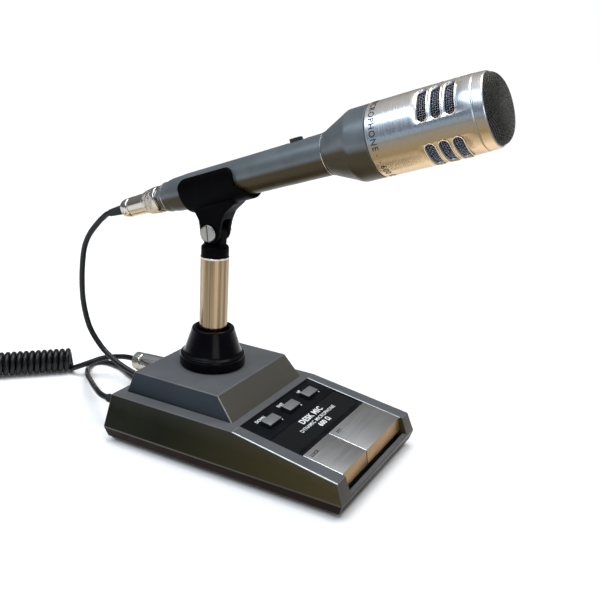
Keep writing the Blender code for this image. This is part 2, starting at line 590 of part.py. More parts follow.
def make_head():
    shell = turned("head_shell", [(21.3, 186.6), (21.6, 185.8), (22.2, 150), (22.2, 122.4), (21.9, 122.0),
                                  (20.9, 122.0), (20.4, 186.6)],
                   "satin_metal", mic, facets=48, closed=True)
    for group in range(4):
        spin = Matrix.Rotation(math.radians(54 + 90 * group), 4, "Z")
        for s in (156.8, 164.9, 173.0):
            half = 22 * MM * math.sin(math.radians(27.5))
            end = 2.5 * MM
            points = arc((half - end, s * MM), end, -90, 90, 8) + arc((end - half, s * MM), end, 90, 270, 8)
            slot = outline_mesh(points, 14 * MM, 26 * MM)
            slot.transform(Matrix(((0, 0, 1, 0), (1, 0, 0, 0), (0, 1, 0, 0), (0, 0, 0, 1))))
            slot.transform(spin)
            boolean(shell, add_cutter("slot_%d_%d" % (group, round(s)), slot, mic))
    turned("slot_screen", [(19.9, 186), (19.9, 130), (19.2, 130), (19.2, 186)], "screen", mic,
           facets=ROUND, closed=True)
    turned("front_ring", [(20.6, 191.4), (21.2, 190.8), (21.4, 187.0), (20.0, 187.0), (20.0, 191.4)],
           "satin_metal", mic, facets=48, closed=True)
    outer = [(19.6 * math.cos(a) ** 0.6, 191.0 + 7.6 * math.sin(a) ** 0.9) for a in np.radians(range(90, -1, -10))]
    outer = [(0.0, 198.6)] + outer[1:] + [(19.6, 187)]
    inner = [(18.8 * math.cos(a) ** 0.6, 190.6 + 7.1 * math.sin(a) ** 0.9) for a in np.radians(range(0, 90, 15))]
    turned("front_screen", outer + [(18.8, 187)] + inner + [(0.0, 197.8)], "screen", mic, facets=ROUND)
    turned("capsule", [(0, 186), (14, 186), (16.8, 184), (16.8, 172), (12, 170), (12, 160), (0, 160)],
           "black_plastic", mic, facets=ROUND)


def make_mic_plug():
    turned("mic_plug_ring", [(9.2, -47.9), (9.5, -48.6), (9.4, -51), (8.5, -58.6), (8.1, -59.2),
                             (7.1, -59.2), (7.1, -47.9)], "chrome", mic, facets=ROUND, closed=True)
    turned("mic_plug_barrel", [(0, -56.8), (6.7, -56.8), (6.7, -59.5), (7.8, -59.5), (7.7, -61.4), (7.0, -74.5),
                               (6.6, -75.6), (0, -75.6)], "chrome", mic, facets=SMALL_ROUND)
    turned("mic_plug_clamp", [(0, -75.9), (6.4, -75.9), (6.9, -77), (6.6, -81), (5.4, -84), (0, -84)],
           "chrome", mic, facets=SMALL_ROUND)
    turned("mic_plug_boot", [(0, -84.3), (3.6, -84.3), (3.5, -87), (2.7, -98), (0, -98)],
           "rubber", mic, facets=16)


# ---- cords --------------------------------------------------------------
MIC_CABLE_ROUTE = [
    (0, 135.4, 146.3), (0, 138.4, 145.0), (0, 142.0, 142.0), (0, 146.3, 138.1), (0, 156.0, 126.8), (0, 161.5, 115.0), (0, 164.0, 99.4),
    (0, 164.7, 86.5), (0, 164.1, 73.7), (0, 161.5, 61.5), (0, 157.6, 51.6), (0, 151.1, 43.2), (0, 143.2, 36.0),
    (0, 133.6, 30.6), (0, 123.8, 26.9), (0.3, 113.5, 23.8), (1.5, 106.0, 19.6), (3.5, 101.0, 14.0), (6.5, 98.5, 8.0),
    (11.5, 98.5, 4.0), (17.5, 102.0, 2.6), (22.0, 108.5, 2.3), (25.5, 119.0, 2.3), (29.2, 132.8, 2.4),
    (35.3, 148.8, 2.4), (42.0, 163.0, 2.3), (44.2, 175.3, 2.3), (43.2, 183.7, 2.3), (38.4, 188.4, 2.3),
    (30.6, 187.3, 2.6), (22.0, 181.6, 4.2), (13.6, 174.6, 6.6), (-1.8, 159.8, 11.5), (-13.0, 147.0, 15.0),
    (-23.8, 134.4, 18.4), (-32.5, 123.5, 21.0), (-39.0, 114.5, 22.6), (-41.7, 108.5, 23.0), (-42, 104.5, 23.0)]
LEAD_ROUTE = [
    (28, 136.4, 21.0), (28.6, 140.5, 21.0), (29.2, 146.5, 20.3), (28.9, 152.0, 19.4), (28.2, 161.2, 17.2),
    (25.0, 169.8, 14.8), (20.6, 175.0, 12.4), (16.6, 181.2, 9.4), (12.8, 187.6, 5.4)]
CURLY_ROUTE = [
    (17.6, 195.5, 10.2), (10.4, 202.4, 10.2), (-4, 216.0, 10.2), (-22, 233.0, 10.2), (-42, 251.0, 10.2),
    (-64, 263.0, 10.2), (-87, 260.0, 10.2), (-103, 244.0, 10.2), (-106, 222.0, 10.2)]
TAIL_ROUTE = [
    (-106.3, 220.6, 5.0), (-106.6, 214.0, 3.8), (-103.0, 200.0, 2.4), (-94.0, 189.0, 2.4), (-82.0, 185.0, 4.8),
    (-73.0, 190.0, 8.4), (-69.1, 197.0, 9.6), (-67.2, 201.1, 9.6)]


def make_cords():
    cord("mic_cable", MIC_CABLE_ROUTE, 78, CABLE_R, "cord_black")
    cord("radio_lead", LEAD_ROUTE, 22, LEAD_R, "cord_black")
    cord("curly_cord", CURLY_ROUTE, 24, CURLY_R, "cord_black", 3)
    cord("radio_lead_tail", TAIL_ROUTE, 16, LEAD_R, "cord_black")


def make_radio_plug():
    start, turn = (-66.9 * MM, 201.8 * MM, 9.6 * MM), math.radians(-25)
    barrel = turned("radio_plug_barrel", [(0, 40), (6.6, 40), (6.6, 28.2), (8.4, 28.2), (8.4, 26), (7.2, 7.5),
                                          (7.2, 2), (5.2, 0), (0, 0)],
                    "chrome", root, start, SMALL_ROUND)
    ring = turned("radio_plug_ring", [(9.2, 41.0), (9.5, 38), (9.5, 29.5), (9.3, 28.5), (7.0, 28.5), (7.0, 41.0)],
                  "chrome", root, start, ROUND, closed=True)
    for piece in (barrel, ring):
        piece.rotation_euler = (-math.pi / 2, 0, turn)


make_housing()
make_underside()
make_panel()
make_buttons()
make_switchgear()
make_rear_fittings()
make_post()
make_clip()
make_handle()
make_head()
make_mic_plug()
make_cords()
make_radio_plug()
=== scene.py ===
# Desk microphone: the looks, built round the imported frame. Metres, +Z up, the keys face -Y.
import math

import bmesh
import bpy
import numpy as np
from mathutils import Matrix, Vector


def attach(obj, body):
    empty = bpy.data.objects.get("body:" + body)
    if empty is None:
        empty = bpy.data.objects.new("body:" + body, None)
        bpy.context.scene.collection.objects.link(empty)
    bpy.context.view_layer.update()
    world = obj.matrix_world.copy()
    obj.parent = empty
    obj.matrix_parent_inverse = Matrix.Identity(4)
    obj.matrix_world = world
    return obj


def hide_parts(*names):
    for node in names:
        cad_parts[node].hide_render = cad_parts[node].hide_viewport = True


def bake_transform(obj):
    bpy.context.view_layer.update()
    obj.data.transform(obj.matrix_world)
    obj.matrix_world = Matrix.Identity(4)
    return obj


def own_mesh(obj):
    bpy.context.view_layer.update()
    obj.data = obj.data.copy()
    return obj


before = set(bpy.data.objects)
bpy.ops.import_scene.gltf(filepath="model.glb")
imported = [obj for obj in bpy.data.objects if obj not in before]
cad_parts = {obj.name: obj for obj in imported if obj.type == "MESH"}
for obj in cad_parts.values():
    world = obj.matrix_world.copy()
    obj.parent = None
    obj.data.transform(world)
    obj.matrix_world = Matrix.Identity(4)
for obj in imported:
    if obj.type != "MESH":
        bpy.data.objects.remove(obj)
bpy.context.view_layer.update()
mm = 0.001

# Places, the same as the frame's own.
levels = {"shiftY": 25.9 * mm, "kinkY": -10.8 * mm, "rimZ": 35.7 * mm, "slope": math.atan2(11.5, 76.3),
         "postY": 42.8 * mm, "pivotZ": 147.3 * mm, "micZ": 179.5 * mm, "rise": math.radians(19.7)}
base = Matrix.Translation((0, levels["shiftY"], 0))
deck = base @ Matrix.Translation((0, levels["kinkY"], levels["rimZ"])) @ Matrix.Rotation(levels["slope"], 4, "X")
post = base @ Matrix.Translation((0, levels["postY"], 0))
pivot = post @ Matrix.Translation((0, 0, levels["pivotZ"]))
mic = (post @ Matrix.Translation((0, 0, levels["micZ"]))
       @ Matrix.Rotation(math.pi / 2 - levels["rise"], 4, "X"))
toRear = Matrix.Rotation(-math.pi / 2, 4, "X")
print("frame loaded")

# Camera.
lensMm = 47.39
cameraData = bpy.data.cameras.new("camera")
cameraData.lens = lensMm
cameraData.sensor_width = 36
cameraData.clip_start = 0.01
camera = bpy.data.objects.new("camera", cameraData)
bpy.context.scene.collection.objects.link(camera)
forward, right, up = (0.84552, 0.43560, -0.30877), (0.47322, -0.87920, 0.05549), (0.24730, 0.19303, 0.94952)
camera.matrix_world = Matrix([(right[i], up[i], -forward[i], (-438.65, -250.80 + 25.9, 272.01)[i] * mm)
                              for i in range(3)] + [(0, 0, 0, 1)])
bpy.context.scene.camera = camera


# Making pieces.
def newPiece(name, mesh, materials):
    piece = bpy.data.objects.new(name, mesh)
    bpy.context.scene.collection.objects.link(piece)
    for material in materials if isinstance(materials, (list, tuple)) else [materials]:
        mesh.materials.append(material)
    return piece


def put(piece, body, nodes=()):
    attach(piece, body)
    if nodes:
        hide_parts(*nodes)
    return piece


def smooth(mesh, angle=32):
    mesh.shade_smooth()
    mesh.set_sharp_from_angle(angle=math.radians(angle))


def gridMesh(name, rows, loop=False, uvScale=None):
    # rows is (rows, steps, 3): rings of points, the first and last capped unless the rows make a loop.
    rows = np.asarray(rows, float)
    count, steps = rows.shape[:2]
    grid = bmesh.new()
    verts = [[grid.verts.new(p) for p in ring] for ring in rows]
    uv = grid.loops.layers.uv.new("UVMap")
    along = np.concatenate([[0], np.cumsum(np.linalg.norm(np.diff(rows[:, 0], axis=0), axis=1))])
    for r in range(count if loop else count - 1):
        for c in range(steps):
            corners = [(r, c), (r, c + 1), (r + 1, c + 1), (r + 1, c)]
            face = grid.faces.new([verts[i % count][j % steps] for i, j in corners])
            for corner, (i, j) in zip(face.loops, corners):
                corner[uv].uv = (j / steps * (uvScale or 1), along[min(i, count - 1)] * 1000)
    if not loop:
        grid.faces.new(list(reversed(verts[0])))
        grid.faces.new(verts[-1])
    bmesh.ops.remove_doubles(grid, verts=grid.verts, dist=1e-7)
    bmesh.ops.dissolve_degenerate(grid, edges=grid.edges, dist=1e-8)
    bmesh.ops.recalc_face_normals(grid, faces=grid.faces)
    mesh = bpy.data.meshes.new(name)
    grid.to_mesh(mesh)
    grid.free()
    return mesh


def roundCorners(profile, radius, steps=4):
    # Rounds the corners of a line of (r, h) points in mm.
    points = [Vector(p) for p in profile]
    result = [points[0]]
    for before, corner, after in zip(points, points[1:], points[2:]):
        first, second = before - corner, after - corner
        reach = min(radius, first.length * 0.45, second.length * 0.45)
        if reach < 0.02 or first.angle(second) > math.radians(172):
            result.append(corner)
            continue
        start, end = corner + first.normalized() * reach, corner + second.normalized() * reach
        for i in range(steps + 1):
            t = i / steps
            result.append(start * (1 - t) ** 2 + corner * 2 * t * (1 - t) + end * t ** 2)
    result.append(points[-1])
    return [tuple(p) for p in result]


def lathe(name, profile, place, materials, radius=0.4, steps=96, loop=False, shape=None, corner=4):
    # Turns (r, h) points in mm about the place's own Z; shape(angle, r, h) may change r.
    profile = list(profile)
    if loop:
        middle = ((profile[0][0] + profile[-1][0]) / 2, (profile[0][1] + profile[-1][1]) / 2)
        rounded = roundCorners([middle] + profile + [middle], radius, corner)[:-1]
    else:
        rounded = roundCorners(profile, radius, corner)
    angles = np.linspace(0, 2 * math.pi, steps, endpoint=False)
    rows = []
    for r, h in rounded:
        radii = np.full(steps, max(r, 1e-6)) if shape is None else np.array([shape(a, r, h) for a in angles])
        rows.append(np.stack([radii * np.cos(angles), radii * np.sin(angles), np.full(steps, h)], 1) * mm)
    mesh = gridMesh(name, rows, loop=loop, uvScale=2 * math.pi * max(r for r, h in rounded))
    smooth(mesh)
    mesh.transform(place)
    return newPiece(name, mesh, materials)


def wallCut(axis, sign, start, end, inset=0.0):
    run, rise = end[0] - start[0], end[1] - start[1]
    normal = Vector((0, 0, 0))
    normal[axis] = sign * rise
    normal.z = -run
    normal.normalize()
    point = Vector((0, 0, start[1]))
    point[axis] = sign * start[0]
    return point - normal * inset, normal


def blockMesh(low, high, cuts=(), bevel=0.0, segments=3):
    # A box in mm with the outside of each cut plane removed, and its edges rounded.
    grid = bmesh.new()
    bmesh.ops.create_cube(grid, size=1)
    for vert in grid.verts:
        vert.co = Vector([low[i] + (vert.co[i] + 0.5) * (high[i] - low[i]) for i in range(3)])
    for point, normal in cuts:
        geometry = grid.verts[:] + grid.edges[:] + grid.faces[:]
        result = bmesh.ops.bisect_plane(grid, geom=geometry, dist=1e-5, plane_co=point, plane_no=normal,
                                        clear_outer=True)
        rim = [item for item in result["geom_cut"] if isinstance(item, bmesh.types.BMEdge)]
        if rim:
            bmesh.ops.contextual_create(grid, geom=rim)
    if bevel:
        bmesh.ops.bevel(grid, geom=grid.edges[:], offset=bevel, segments=segments, profile=0.5, affect="EDGES",
                        material=1, clamp_overlap=True)
    bmesh.ops.recalc_face_normals(grid, faces=grid.faces)
    bmesh.ops.scale(grid, vec=(mm, mm, mm), verts=grid.verts)
    mesh = bpy.data.meshes.new("block")
    grid.to_mesh(mesh)
    grid.free()
    return mesh


def boolean(piece, mesh, place=Matrix.Identity(4), operation="DIFFERENCE"):
    # Adds or takes away a mesh, and makes the result the piece's own mesh.
    cutter = bpy.data.objects.new("cutter", mesh.copy())
    cutter.data.transform(place)
    bpy.context.scene.collection.objects.link(cutter)
    modifier = piece.modifiers.new("cut", "BOOLEAN")
    modifier.operation = operation
    modifier.solver = "EXACT"
    modifier.object = cutter
    applyModifiers(piece)
    bpy.data.objects.remove(cutter, do_unlink=True)
    return piece


def applyModifiers(piece):
    bpy.context.view_layer.update()
    graph = bpy.context.evaluated_depsgraph_get()
    mesh = bpy.data.meshes.new_from_object(piece.evaluated_get(graph), depsgraph=graph)
    piece.modifiers.clear()
    old, piece.data = piece.data, mesh
    mesh.name = old.name
    bpy.data.meshes.remove(old)


def smoothRoute(route, spacing):
    # Evenly spaced points on a smooth curve through the route, all in mm.
    knots = np.array([route[0], *route, route[-1]], float)
    knots[0] = 2 * knots[1] - knots[2]
    knots[-1] = 2 * knots[-2] - knots[-3]
    fine = []
    for i in range(1, len(knots) - 2):
        before, start, end, after = knots[i - 1:i + 3]
        for t in np.linspace(0, 1, 24, endpoint=False):
            fine.append(0.5 * (2 * start + (end - before) * t
                               + (2 * before - 5 * start + 4 * end - after) * t ** 2
                               + (3 * start - before - 3 * end + after) * t ** 3))
    fine.append(knots[-2])
    fine = np.array(fine)
    along = np.concatenate([[0], np.cumsum(np.linalg.norm(np.diff(fine, axis=0), axis=1))])
    wanted = np.linspace(0, along[-1], max(8, int(along[-1] / spacing)))
    return np.array([np.interp(wanted, along, fine[:, k]) for k in range(3)]).T


def tube(name, points, radius, sides, material, place=Matrix.Identity(4)):
    # A round tube through points in mm, with closed ends.
    points = np.asarray(points, float)
    tangents = np.gradient(points, axis=0)
    tangents /= np.linalg.norm(tangents, axis=1)[:, None]
    side = np.cross(tangents[0], (0, 0, 1) if abs(tangents[0][2]) < 0.9 else (1, 0, 0))
    rows = []
    angles = np.linspace(0, 2 * math.pi, sides, endpoint=False)
    for point, tangent in zip(points, tangents):
        side = side - tangent * side.dot(tangent)
        side /= np.linalg.norm(side)
        other = np.cross(tangent, side)
        rows.append(point + radius * (np.cos(angles)[:, None] * side + np.sin(angles)[:, None] * other))
    mesh = gridMesh(name, np.array(rows) * mm, uvScale=2 * math.pi * radius)
    smooth(mesh, 50)
    mesh.transform(place)
    return newPiece(name, mesh, material)


# Materials.
class Shader:
    # A material with its nodes, and short ways to add and join them.

    def __init__(self, name, colour, metal=0.0, rough=0.5, spec=0.5, coat=0.0, coatRough=0.1):
        self.material = bpy.data.materials.new(name)
        self.material.use_nodes = True
        self.tree = self.material.node_tree
        self.bsdf = self.tree.nodes["Principled BSDF"]
        self.set("Base Color", (*colour, 1))
        self.set("Metallic", metal)
        self.set("Roughness", rough)
        self.set("Specular IOR Level", spec)
        self.set("Coat Weight", coat)
        self.set("Coat Roughness", coatRough)
        self.colour = colour
        self.material.diffuse_color = (*colour, 1)
        self.height = None

    def set(self, socket, value):
        self.bsdf.inputs[socket].default_value = value

    def add(self, kind, inputs=None, **settings):
        node = self.tree.nodes.new(kind)
        for key, value in settings.items():
            setattr(node, key, value)
        for key, value in (inputs or {}).items():
            if isinstance(value, bpy.types.NodeSocket):
                self.tree.links.new(value, node.inputs[key])
            else:
                node.inputs[key].default_value = value
        return node

    def where(self, scale=(1, 1, 1), uv=False):
        if uv:
            source = self.add("ShaderNodeUVMap", uv_map="UVMap").outputs[0]
        else:
            source = self.add("ShaderNodeTexCoord").outputs["Object"]
        return self.add("ShaderNodeMapping", {"Vector": source, "Scale": scale}).outputs[0]

    def noise(self, where, scale, detail=3.0, rough=0.55):
        return self.add("ShaderNodeTexNoise", {"Vector": where, "Scale": scale, "Detail": detail,
                                               "Roughness": rough}).outputs["Fac"]

    def spread(self, value, low, high, start=0.3, end=0.7):
        return self.add("ShaderNodeMapRange", {"Value": value, "From Min": start, "From Max": end,
                                               "To Min": low, "To Max": high}).outputs[0]

    def maths(self, kind, a, b=0.0):
        return self.add("ShaderNodeMath", {0: a, 1: b}, operation=kind).outputs[0]

    def mix(self, factor, a, b):
        def asColour(value):
            return value if isinstance(value, bpy.types.NodeSocket) else (*value, 1)
        node = self.add("ShaderNodeMix", {"Factor": factor}, data_type="RGBA")
        for socket, value in ((node.inputs[6], asColour(a)), (node.inputs[7], asColour(b))):
            if isinstance(value, bpy.types.NodeSocket):
                self.tree.links.new(value, socket)
            else:
                socket.default_value = value
        return node.outputs[2]

    def link(self, value, socket):
        self.tree.links.new(value, self.bsdf.inputs[socket])

    def bump(self, height, distance, strength=1.0):
        inputs = {"Height": height, "Distance": distance, "Strength": strength}
        if self.height is not None:
            inputs["Normal"] = self.height
        self.height = self.add("ShaderNodeBump", inputs).outputs[0]
        self.link(self.height, "Normal")

    def facing(self, axis="Z"):
        # How far the surface faces along a world axis, from -1 to 1. It is no part of the piece: a tint made from
        # it slides round the microphone as that tilts.
        normal = self.add("ShaderNodeNewGeometry").outputs["Normal"]
        return self.add("ShaderNodeSeparateXYZ", {0: normal}).outputs[axis]

    def mottle(self, amount, scale=60):
        # Uneven colour: the base colour, darker and lighter in soft patches.
        patches = self.noise(self.where(), scale, 4)
        dark = tuple(c * (1 - amount) for c in self.colour)
        light = tuple(min(1, c * (1 + amount)) for c in self.colour)
        return self.mix(self.spread(patches, 0, 1, 0.35, 0.65), dark, light)


def paint(name, colour, rough=0.45, spec=0.4, metal=0.0, side=None, under=None, grain=0.00003):
    # Sprayed enamel with fine orange peel. The side and under colours are painted reflections: faces turned sideways
    # take the side tint, faces looking down the under tint.
    s = Shader(name, colour, metal, rough, spec, 0.0, 0.2)
    tone = s.mottle(0.12, 45)
    facing = s.facing()
    # painted reflection: sides and undersides tinted by the way they face, not the enamel's own colour
    if side:
        tone = s.mix(s.spread(facing, 0, 1, 0.9, 0.2), tone, s.mix(s.spread(s.noise(s.where(), 12), 0, 1), *side))
    if under:
        tone = s.mix(s.spread(facing, 0, 1, -0.02, -0.2), tone, under)
    s.link(tone, "Base Color")
    s.link(s.spread(s.noise(s.where(), 90, 5), rough - 0.06, rough + 0.08), "Roughness")
    s.bump(s.noise(s.where(), 1500, 2), grain, 0.25)
    return s


def metal(name, colour, rough=0.3, streak=(1, 1, 1), amount=0.1, warmReflection=None, uv=False, depth=0.00001,
          band=(0.3, 0.7), reflectionZones=()):
    # Bare or plated metal, its drawn or turned lines along the short side of the streak scale. The warm reflection and
    # the reflection zones tint it by the way it faces: they are painted reflections of a room and aren't the metal's
    # own colour.
    s = Shader(name, colour, 1.0, rough)
    lines = s.noise(s.where(streak, uv), 1.0, 4, 0.65)
    tone = s.mix(s.spread(lines, 0, 1, *band), tuple(c * (1 - amount) for c in colour),
                 tuple(min(1, c * (1 + amount)) for c in colour))
    # painted reflection: a warm tint on the faces looking down
    if warmReflection:
        tone = s.mix(s.spread(s.facing(), 0, warmReflection[1], warmReflection[2], warmReflection[3]), tone, warmReflection[0])
    for high, low, tint in reflectionZones:
        tone = s.mix(s.spread(s.facing(), 0, 1, high, low), tone, tint)
    s.link(tone, "Base Color")
    s.link(s.spread(s.maths("ADD", lines, s.spread(s.noise(s.where(), 45), -0.04, 0.04)), rough * 0.85, rough * 1.2),
           "Roughness")
    s.bump(lines, depth, 0.4)
    return s


def plastic(name, colour, rough=0.35, spec=0.5, grain=(1500, 0.00002), coat=0.0, dust=0.25):
    s = Shader(name, colour, 0, rough, spec, coat, 0.08)
    s.link(s.mottle(dust, 70), "Base Color")
    s.link(s.spread(s.noise(s.where(), 120, 5), rough * 0.8, rough * 1.25), "Roughness")
    s.bump(s.noise(s.where(), grain[0], 3), grain[1], 0.6)
    return s


def housingEnamelAndPaintedReflections():
    # The base's enamel with painted reflections and shade, by where each face sits and the way it looks: the sides
    # olive low down and near black towards the rear, bluish higher up; faces looking forward warm grey; undersides dark
    # red-brown.
    s = Shader("base_enamel", (0.096, 0.101, 0.107), 0, 0.42, 0.06, 0.0, 0.25)
    spot = s.add("ShaderNodeSeparateXYZ", {0: s.where()})
    # painted shade: the lower sides warm olive in front, near black to the rear
    low = s.mix(s.spread(spot.outputs["Y"], 0, 1, -0.08, 0.07), (0.056, 0.044, 0.017), (0.002, 0.004, 0.001))
    low = s.mix(s.spread(s.noise(s.where(), 30), 0, 0.4), low, (0.020, 0.018, 0.007))
    side = s.mix(s.spread(spot.outputs["Z"], 0, 1, 0.0345, 0.0375), low, (0.018, 0.025, 0.034))
    tone = s.mix(s.spread(s.facing(), 0, 1, 0.9, 0.2), s.mottle(0.08, 45), side)
    # painted reflection: faces looking forward turn warm grey, undersides dark red-brown
    tone = s.mix(s.spread(s.facing("Y"), 0, 1, -0.35, -0.7), tone, (0.070, 0.066, 0.056))
    s.link(s.mix(s.spread(s.facing(), 0, 1, -0.02, -0.2), tone, (0.010, 0.004, 0.0015)), "Base Color")
    s.link(s.spread(s.noise(s.where(), 90, 5), 0.36, 0.48), "Roughness")
    s.bump(s.noise(s.where(), 1500, 2), 0.00002, 0.25)
    return s


def asMaterials(table):
    return {name: shader.material for name, shader in table.items()}


finishes = asMaterials({
    "basePaint": housingEnamelAndPaintedReflections(),
    # base_edge: its darker olive side tints are painted reflection on the bevels that face sideways
    "baseEdge": paint("base_edge", (0.13, 0.135, 0.14), 0.36, 0.4, 0.3, ((0.03, 0.03, 0.026), (0.06, 0.056, 0.04))),
    # lighter bare metal, put only on edges turned towards the camera that catch the light: partly worn paint, partly
    # painted highlight
    "wornAndHighlightEdge": metal("base_worn_and_highlight_edge", (0.42, 0.43, 0.44), 0.32, (300, 300, 300), 0.25),
    # handle enamel: its brown under tint is painted reflection on the faces looking down
    "handlePaint": paint("handle_enamel", (0.098, 0.116, 0.127), 0.34, 0.3, 0.3, None, (0.032, 0.022, 0.006)),
    "fittingBlack": plastic("black_moulding", (0.0012, 0.0012, 0.0016), 0.45, 0.025),
    "bootBlack": plastic("boot_rubber", (0.0015, 0.0015, 0.003), 0.2, 0.08, (900, 0.000006)),
    "panelBlack": plastic("panel_black", (0.0065, 0.0075, 0.0095), 0.4, 0.02),
    "nameBlack": plastic("name_card_black", (0.0008, 0.0022, 0.002), 0.3, 0.008, (400, 0.000005), 0.5),
    "barGrey": plastic("bar_grey", (0.012, 0.012, 0.013), 0.4, 0.2),
    "buttonTop": paint("button_silver", (0.20, 0.21, 0.215), 0.38, 0.5, 0.4),
    "buttonSide": plastic("button_black", (0.008, 0.008, 0.009), 0.35),
    "keyTop": metal("key_satin", (0.37, 0.37, 0.365), 0.4, (30, 900, 900), 0.05),
    "keyEdge": metal("key_bright_edge", (0.85, 0.86, 0.87), 0.22, (900, 900, 900), 0.05),
    # golden brown on the keys' front faces: painted reflection of the table, not a colour of the key metal
    "keyFrontReflection": metal("key_front_painted_reflection", (0.36, 0.22, 0.10), 0.42, (30, 900, 900), 0.08),
    "print": plastic("white_print", (0.75, 0.76, 0.77), 0.5, 0.3, (2000, 0.00001), 0, 0.1),
    "darkPrint": plastic("dark_print", (0.008, 0.008, 0.008), 0.5, 0.2, (2000, 0.00001), 0, 0.1),
    # post steel: the drawn lines are real, but their strong light and dark banding and the tan-brown tint are painted
    # reflection
    "postSteel": metal("post_steel", (0.26, 0.19, 0.115), 0.2, (170, 170, 1), 0.7, None, False, 0.000004, (0.4, 0.6)),
    # head zones: painted reflections by the way each face looks, pale blue-white bands up the sides, dark near level,
    # brown and golden bands underneath
    "headSatin": metal("head_satin", (0.92, 0.84, 0.75), 0.27, (0.02, 0.9, 1), 0.04, None, True, 0.0000005, (0.3, 0.7),
                       ((0.66, 0.48, (0.62, 0.70, 0.79)), (0.44, 0.26, (0.64, 0.74, 0.85)),
                        (0.20, 0.06, (0.27, 0.35, 0.44)), (0.04, -0.10, (0.19, 0.17, 0.14)),
                        (-0.12, -0.40, (0.23, 0.16, 0.075)), (-0.44, -0.58, (0.44, 0.31, 0.175)),
                        (-0.60, -0.74, (0.72, 0.52, 0.30)), (-0.84, -0.94, (0.46, 0.28, 0.13)))),
    # head rim: painted golden-brown reflection on the faces looking down
    "headRim": metal("head_rim", (0.70, 0.66, 0.60), 0.24, (500, 500, 500), 0.05,
                     ((0.50, 0.35, 0.18), 0.85, 0.1, -0.6)),
    # plug chrome: painted golden-brown reflection on the faces looking down
    "chrome": metal("plug_chrome", (0.50, 0.49, 0.47), 0.13, (500, 500, 500), 0.05,
                    ((0.50, 0.36, 0.18), 0.85, 0.0, -0.6)),
    "screwChrome": metal("screw_nickel", (0.27, 0.27, 0.25), 0.34, (700, 700, 120), 0.22),
    "steel": metal("plain_steel", (0.42, 0.42, 0.43), 0.4, (60, 400, 400), 0.15),
    "castIron": paint("ballast_iron", (0.08, 0.08, 0.08), 0.7, 0.3, 0.3, None, None, 0.0001),
    "bottomPaint": paint("bottom_paint", (0.02, 0.02, 0.022), 0.5, 0.4),
    "brass": metal("plunger_brass", (0.6, 0.42, 0.18), 0.3, (300, 300, 300), 0.1),
    "board": plastic("circuit_board", (0.02, 0.12, 0.05), 0.4),
    "rubber": plastic("foot_rubber", (0.014, 0.014, 0.014), 0.75, 0.3, (900, 0.00006)),
    "wire": metal("screen_wire", (0.085, 0.085, 0.078), 0.26, (900, 900, 900), 0.7),
    "slotWire": metal("slot_screen_wire", (0.17, 0.18, 0.21), 0.26, (900, 900, 900), 0.7),
    "screenBack": plastic("screen_backing", (0.003, 0.003, 0.0035), 0.8, 0.2),
    "cord": plastic("cord_jacket", (0.003, 0.003, 0.0035), 0.3, 0.3, (600, 0.00002)),
    "pins": metal("socket_pins", (0.75, 0.6, 0.3), 0.25, (300, 300, 300), 0.1),
})
print("materials made")

# Cords, their points this far apart in mm.
cordSpacing = 2.4
micCable = {"route": [
    (0, 135.4, 146.3), (0, 138.4, 145.0), (0, 142.0, 142.0), (0, 146.3, 138.1), (0, 156.0, 126.8), (0, 161.5, 115.0),
    (0, 164.0, 99.4), (0, 164.7, 86.5), (0, 164.1, 73.7), (0, 161.5, 61.5), (0, 157.6, 51.6), (0, 151.1, 43.2),
    (0, 143.2, 36.0), (0, 133.6, 30.6), (0, 123.8, 26.9), (0.3, 113.5, 23.8), (1.5, 106.0, 19.6), (3.5, 101.0, 14.0),
    (6.5, 98.5, 8.0), (11.5, 98.5, 4.0), (17.5, 102.0, 2.6), (22.0, 108.5, 2.3), (25.5, 119.0, 2.3),
    (29.2, 132.8, 2.4), (35.3, 148.8, 2.4), (42.0, 163.0, 2.3), (44.2, 175.3, 2.3), (43.2, 183.7, 2.3),
    (38.4, 188.4, 2.3), (30.6, 187.3, 2.6), (22.0, 181.6, 4.2), (13.6, 174.6, 6.6), (-1.8, 159.8, 11.5),
    (-13.0, 147.0, 15.0), (-23.8, 134.4, 18.4), (-32.5, 123.5, 21.0), (-39.0, 114.5, 22.6), (-41.7, 108.5, 23.0),
    (-42, 104.5, 23.0)],
    "radius": 2.1, "bendLow": (0, 187 * mm, 58 * mm), "bendHigh": (0, 167 * mm, 140 * mm)}
radioCord = {
    "lead": [(28, 136.4, 21.0), (28.6, 140.5, 21.0), (29.2, 146.5, 20.3), (28.9, 152.0, 19.4), (28.2, 161.2, 17.2),
             (25.0, 169.8, 14.8), (20.6, 175.0, 12.4), (16.6, 181.2, 9.4)],
    "coil": [(17.6, 195.5, 10.2), (10.4, 202.4, 10.2), (-4, 216.0, 10.2), (-22, 233.0, 10.2), (-42, 251.0, 10.2),
             (-64, 263.0, 10.2), (-87, 260.0, 10.2), (-103, 244.0, 10.2), (-106, 222.0, 10.2)],
    "tail": [(-104.6, 203.0, 2.6), (-100.6, 196.0, 2.4), (-93.0, 189.0, 2.4),
             (-82.0, 185.0, 4.8), (-73.0, 190.0, 8.4), (-69.1, 197.0, 9.6), (-67.2, 201.1, 9.6)],
    "radius": 2.2, "coilRadius": 7.5, "gap": 0.25, "pointsPerTurn": 20, "startAngle": -60, "endAngle": 0}


def inFrame(points):
    return [tuple((base @ (Vector(p) * mm))) for p in np.asarray(points, float)]


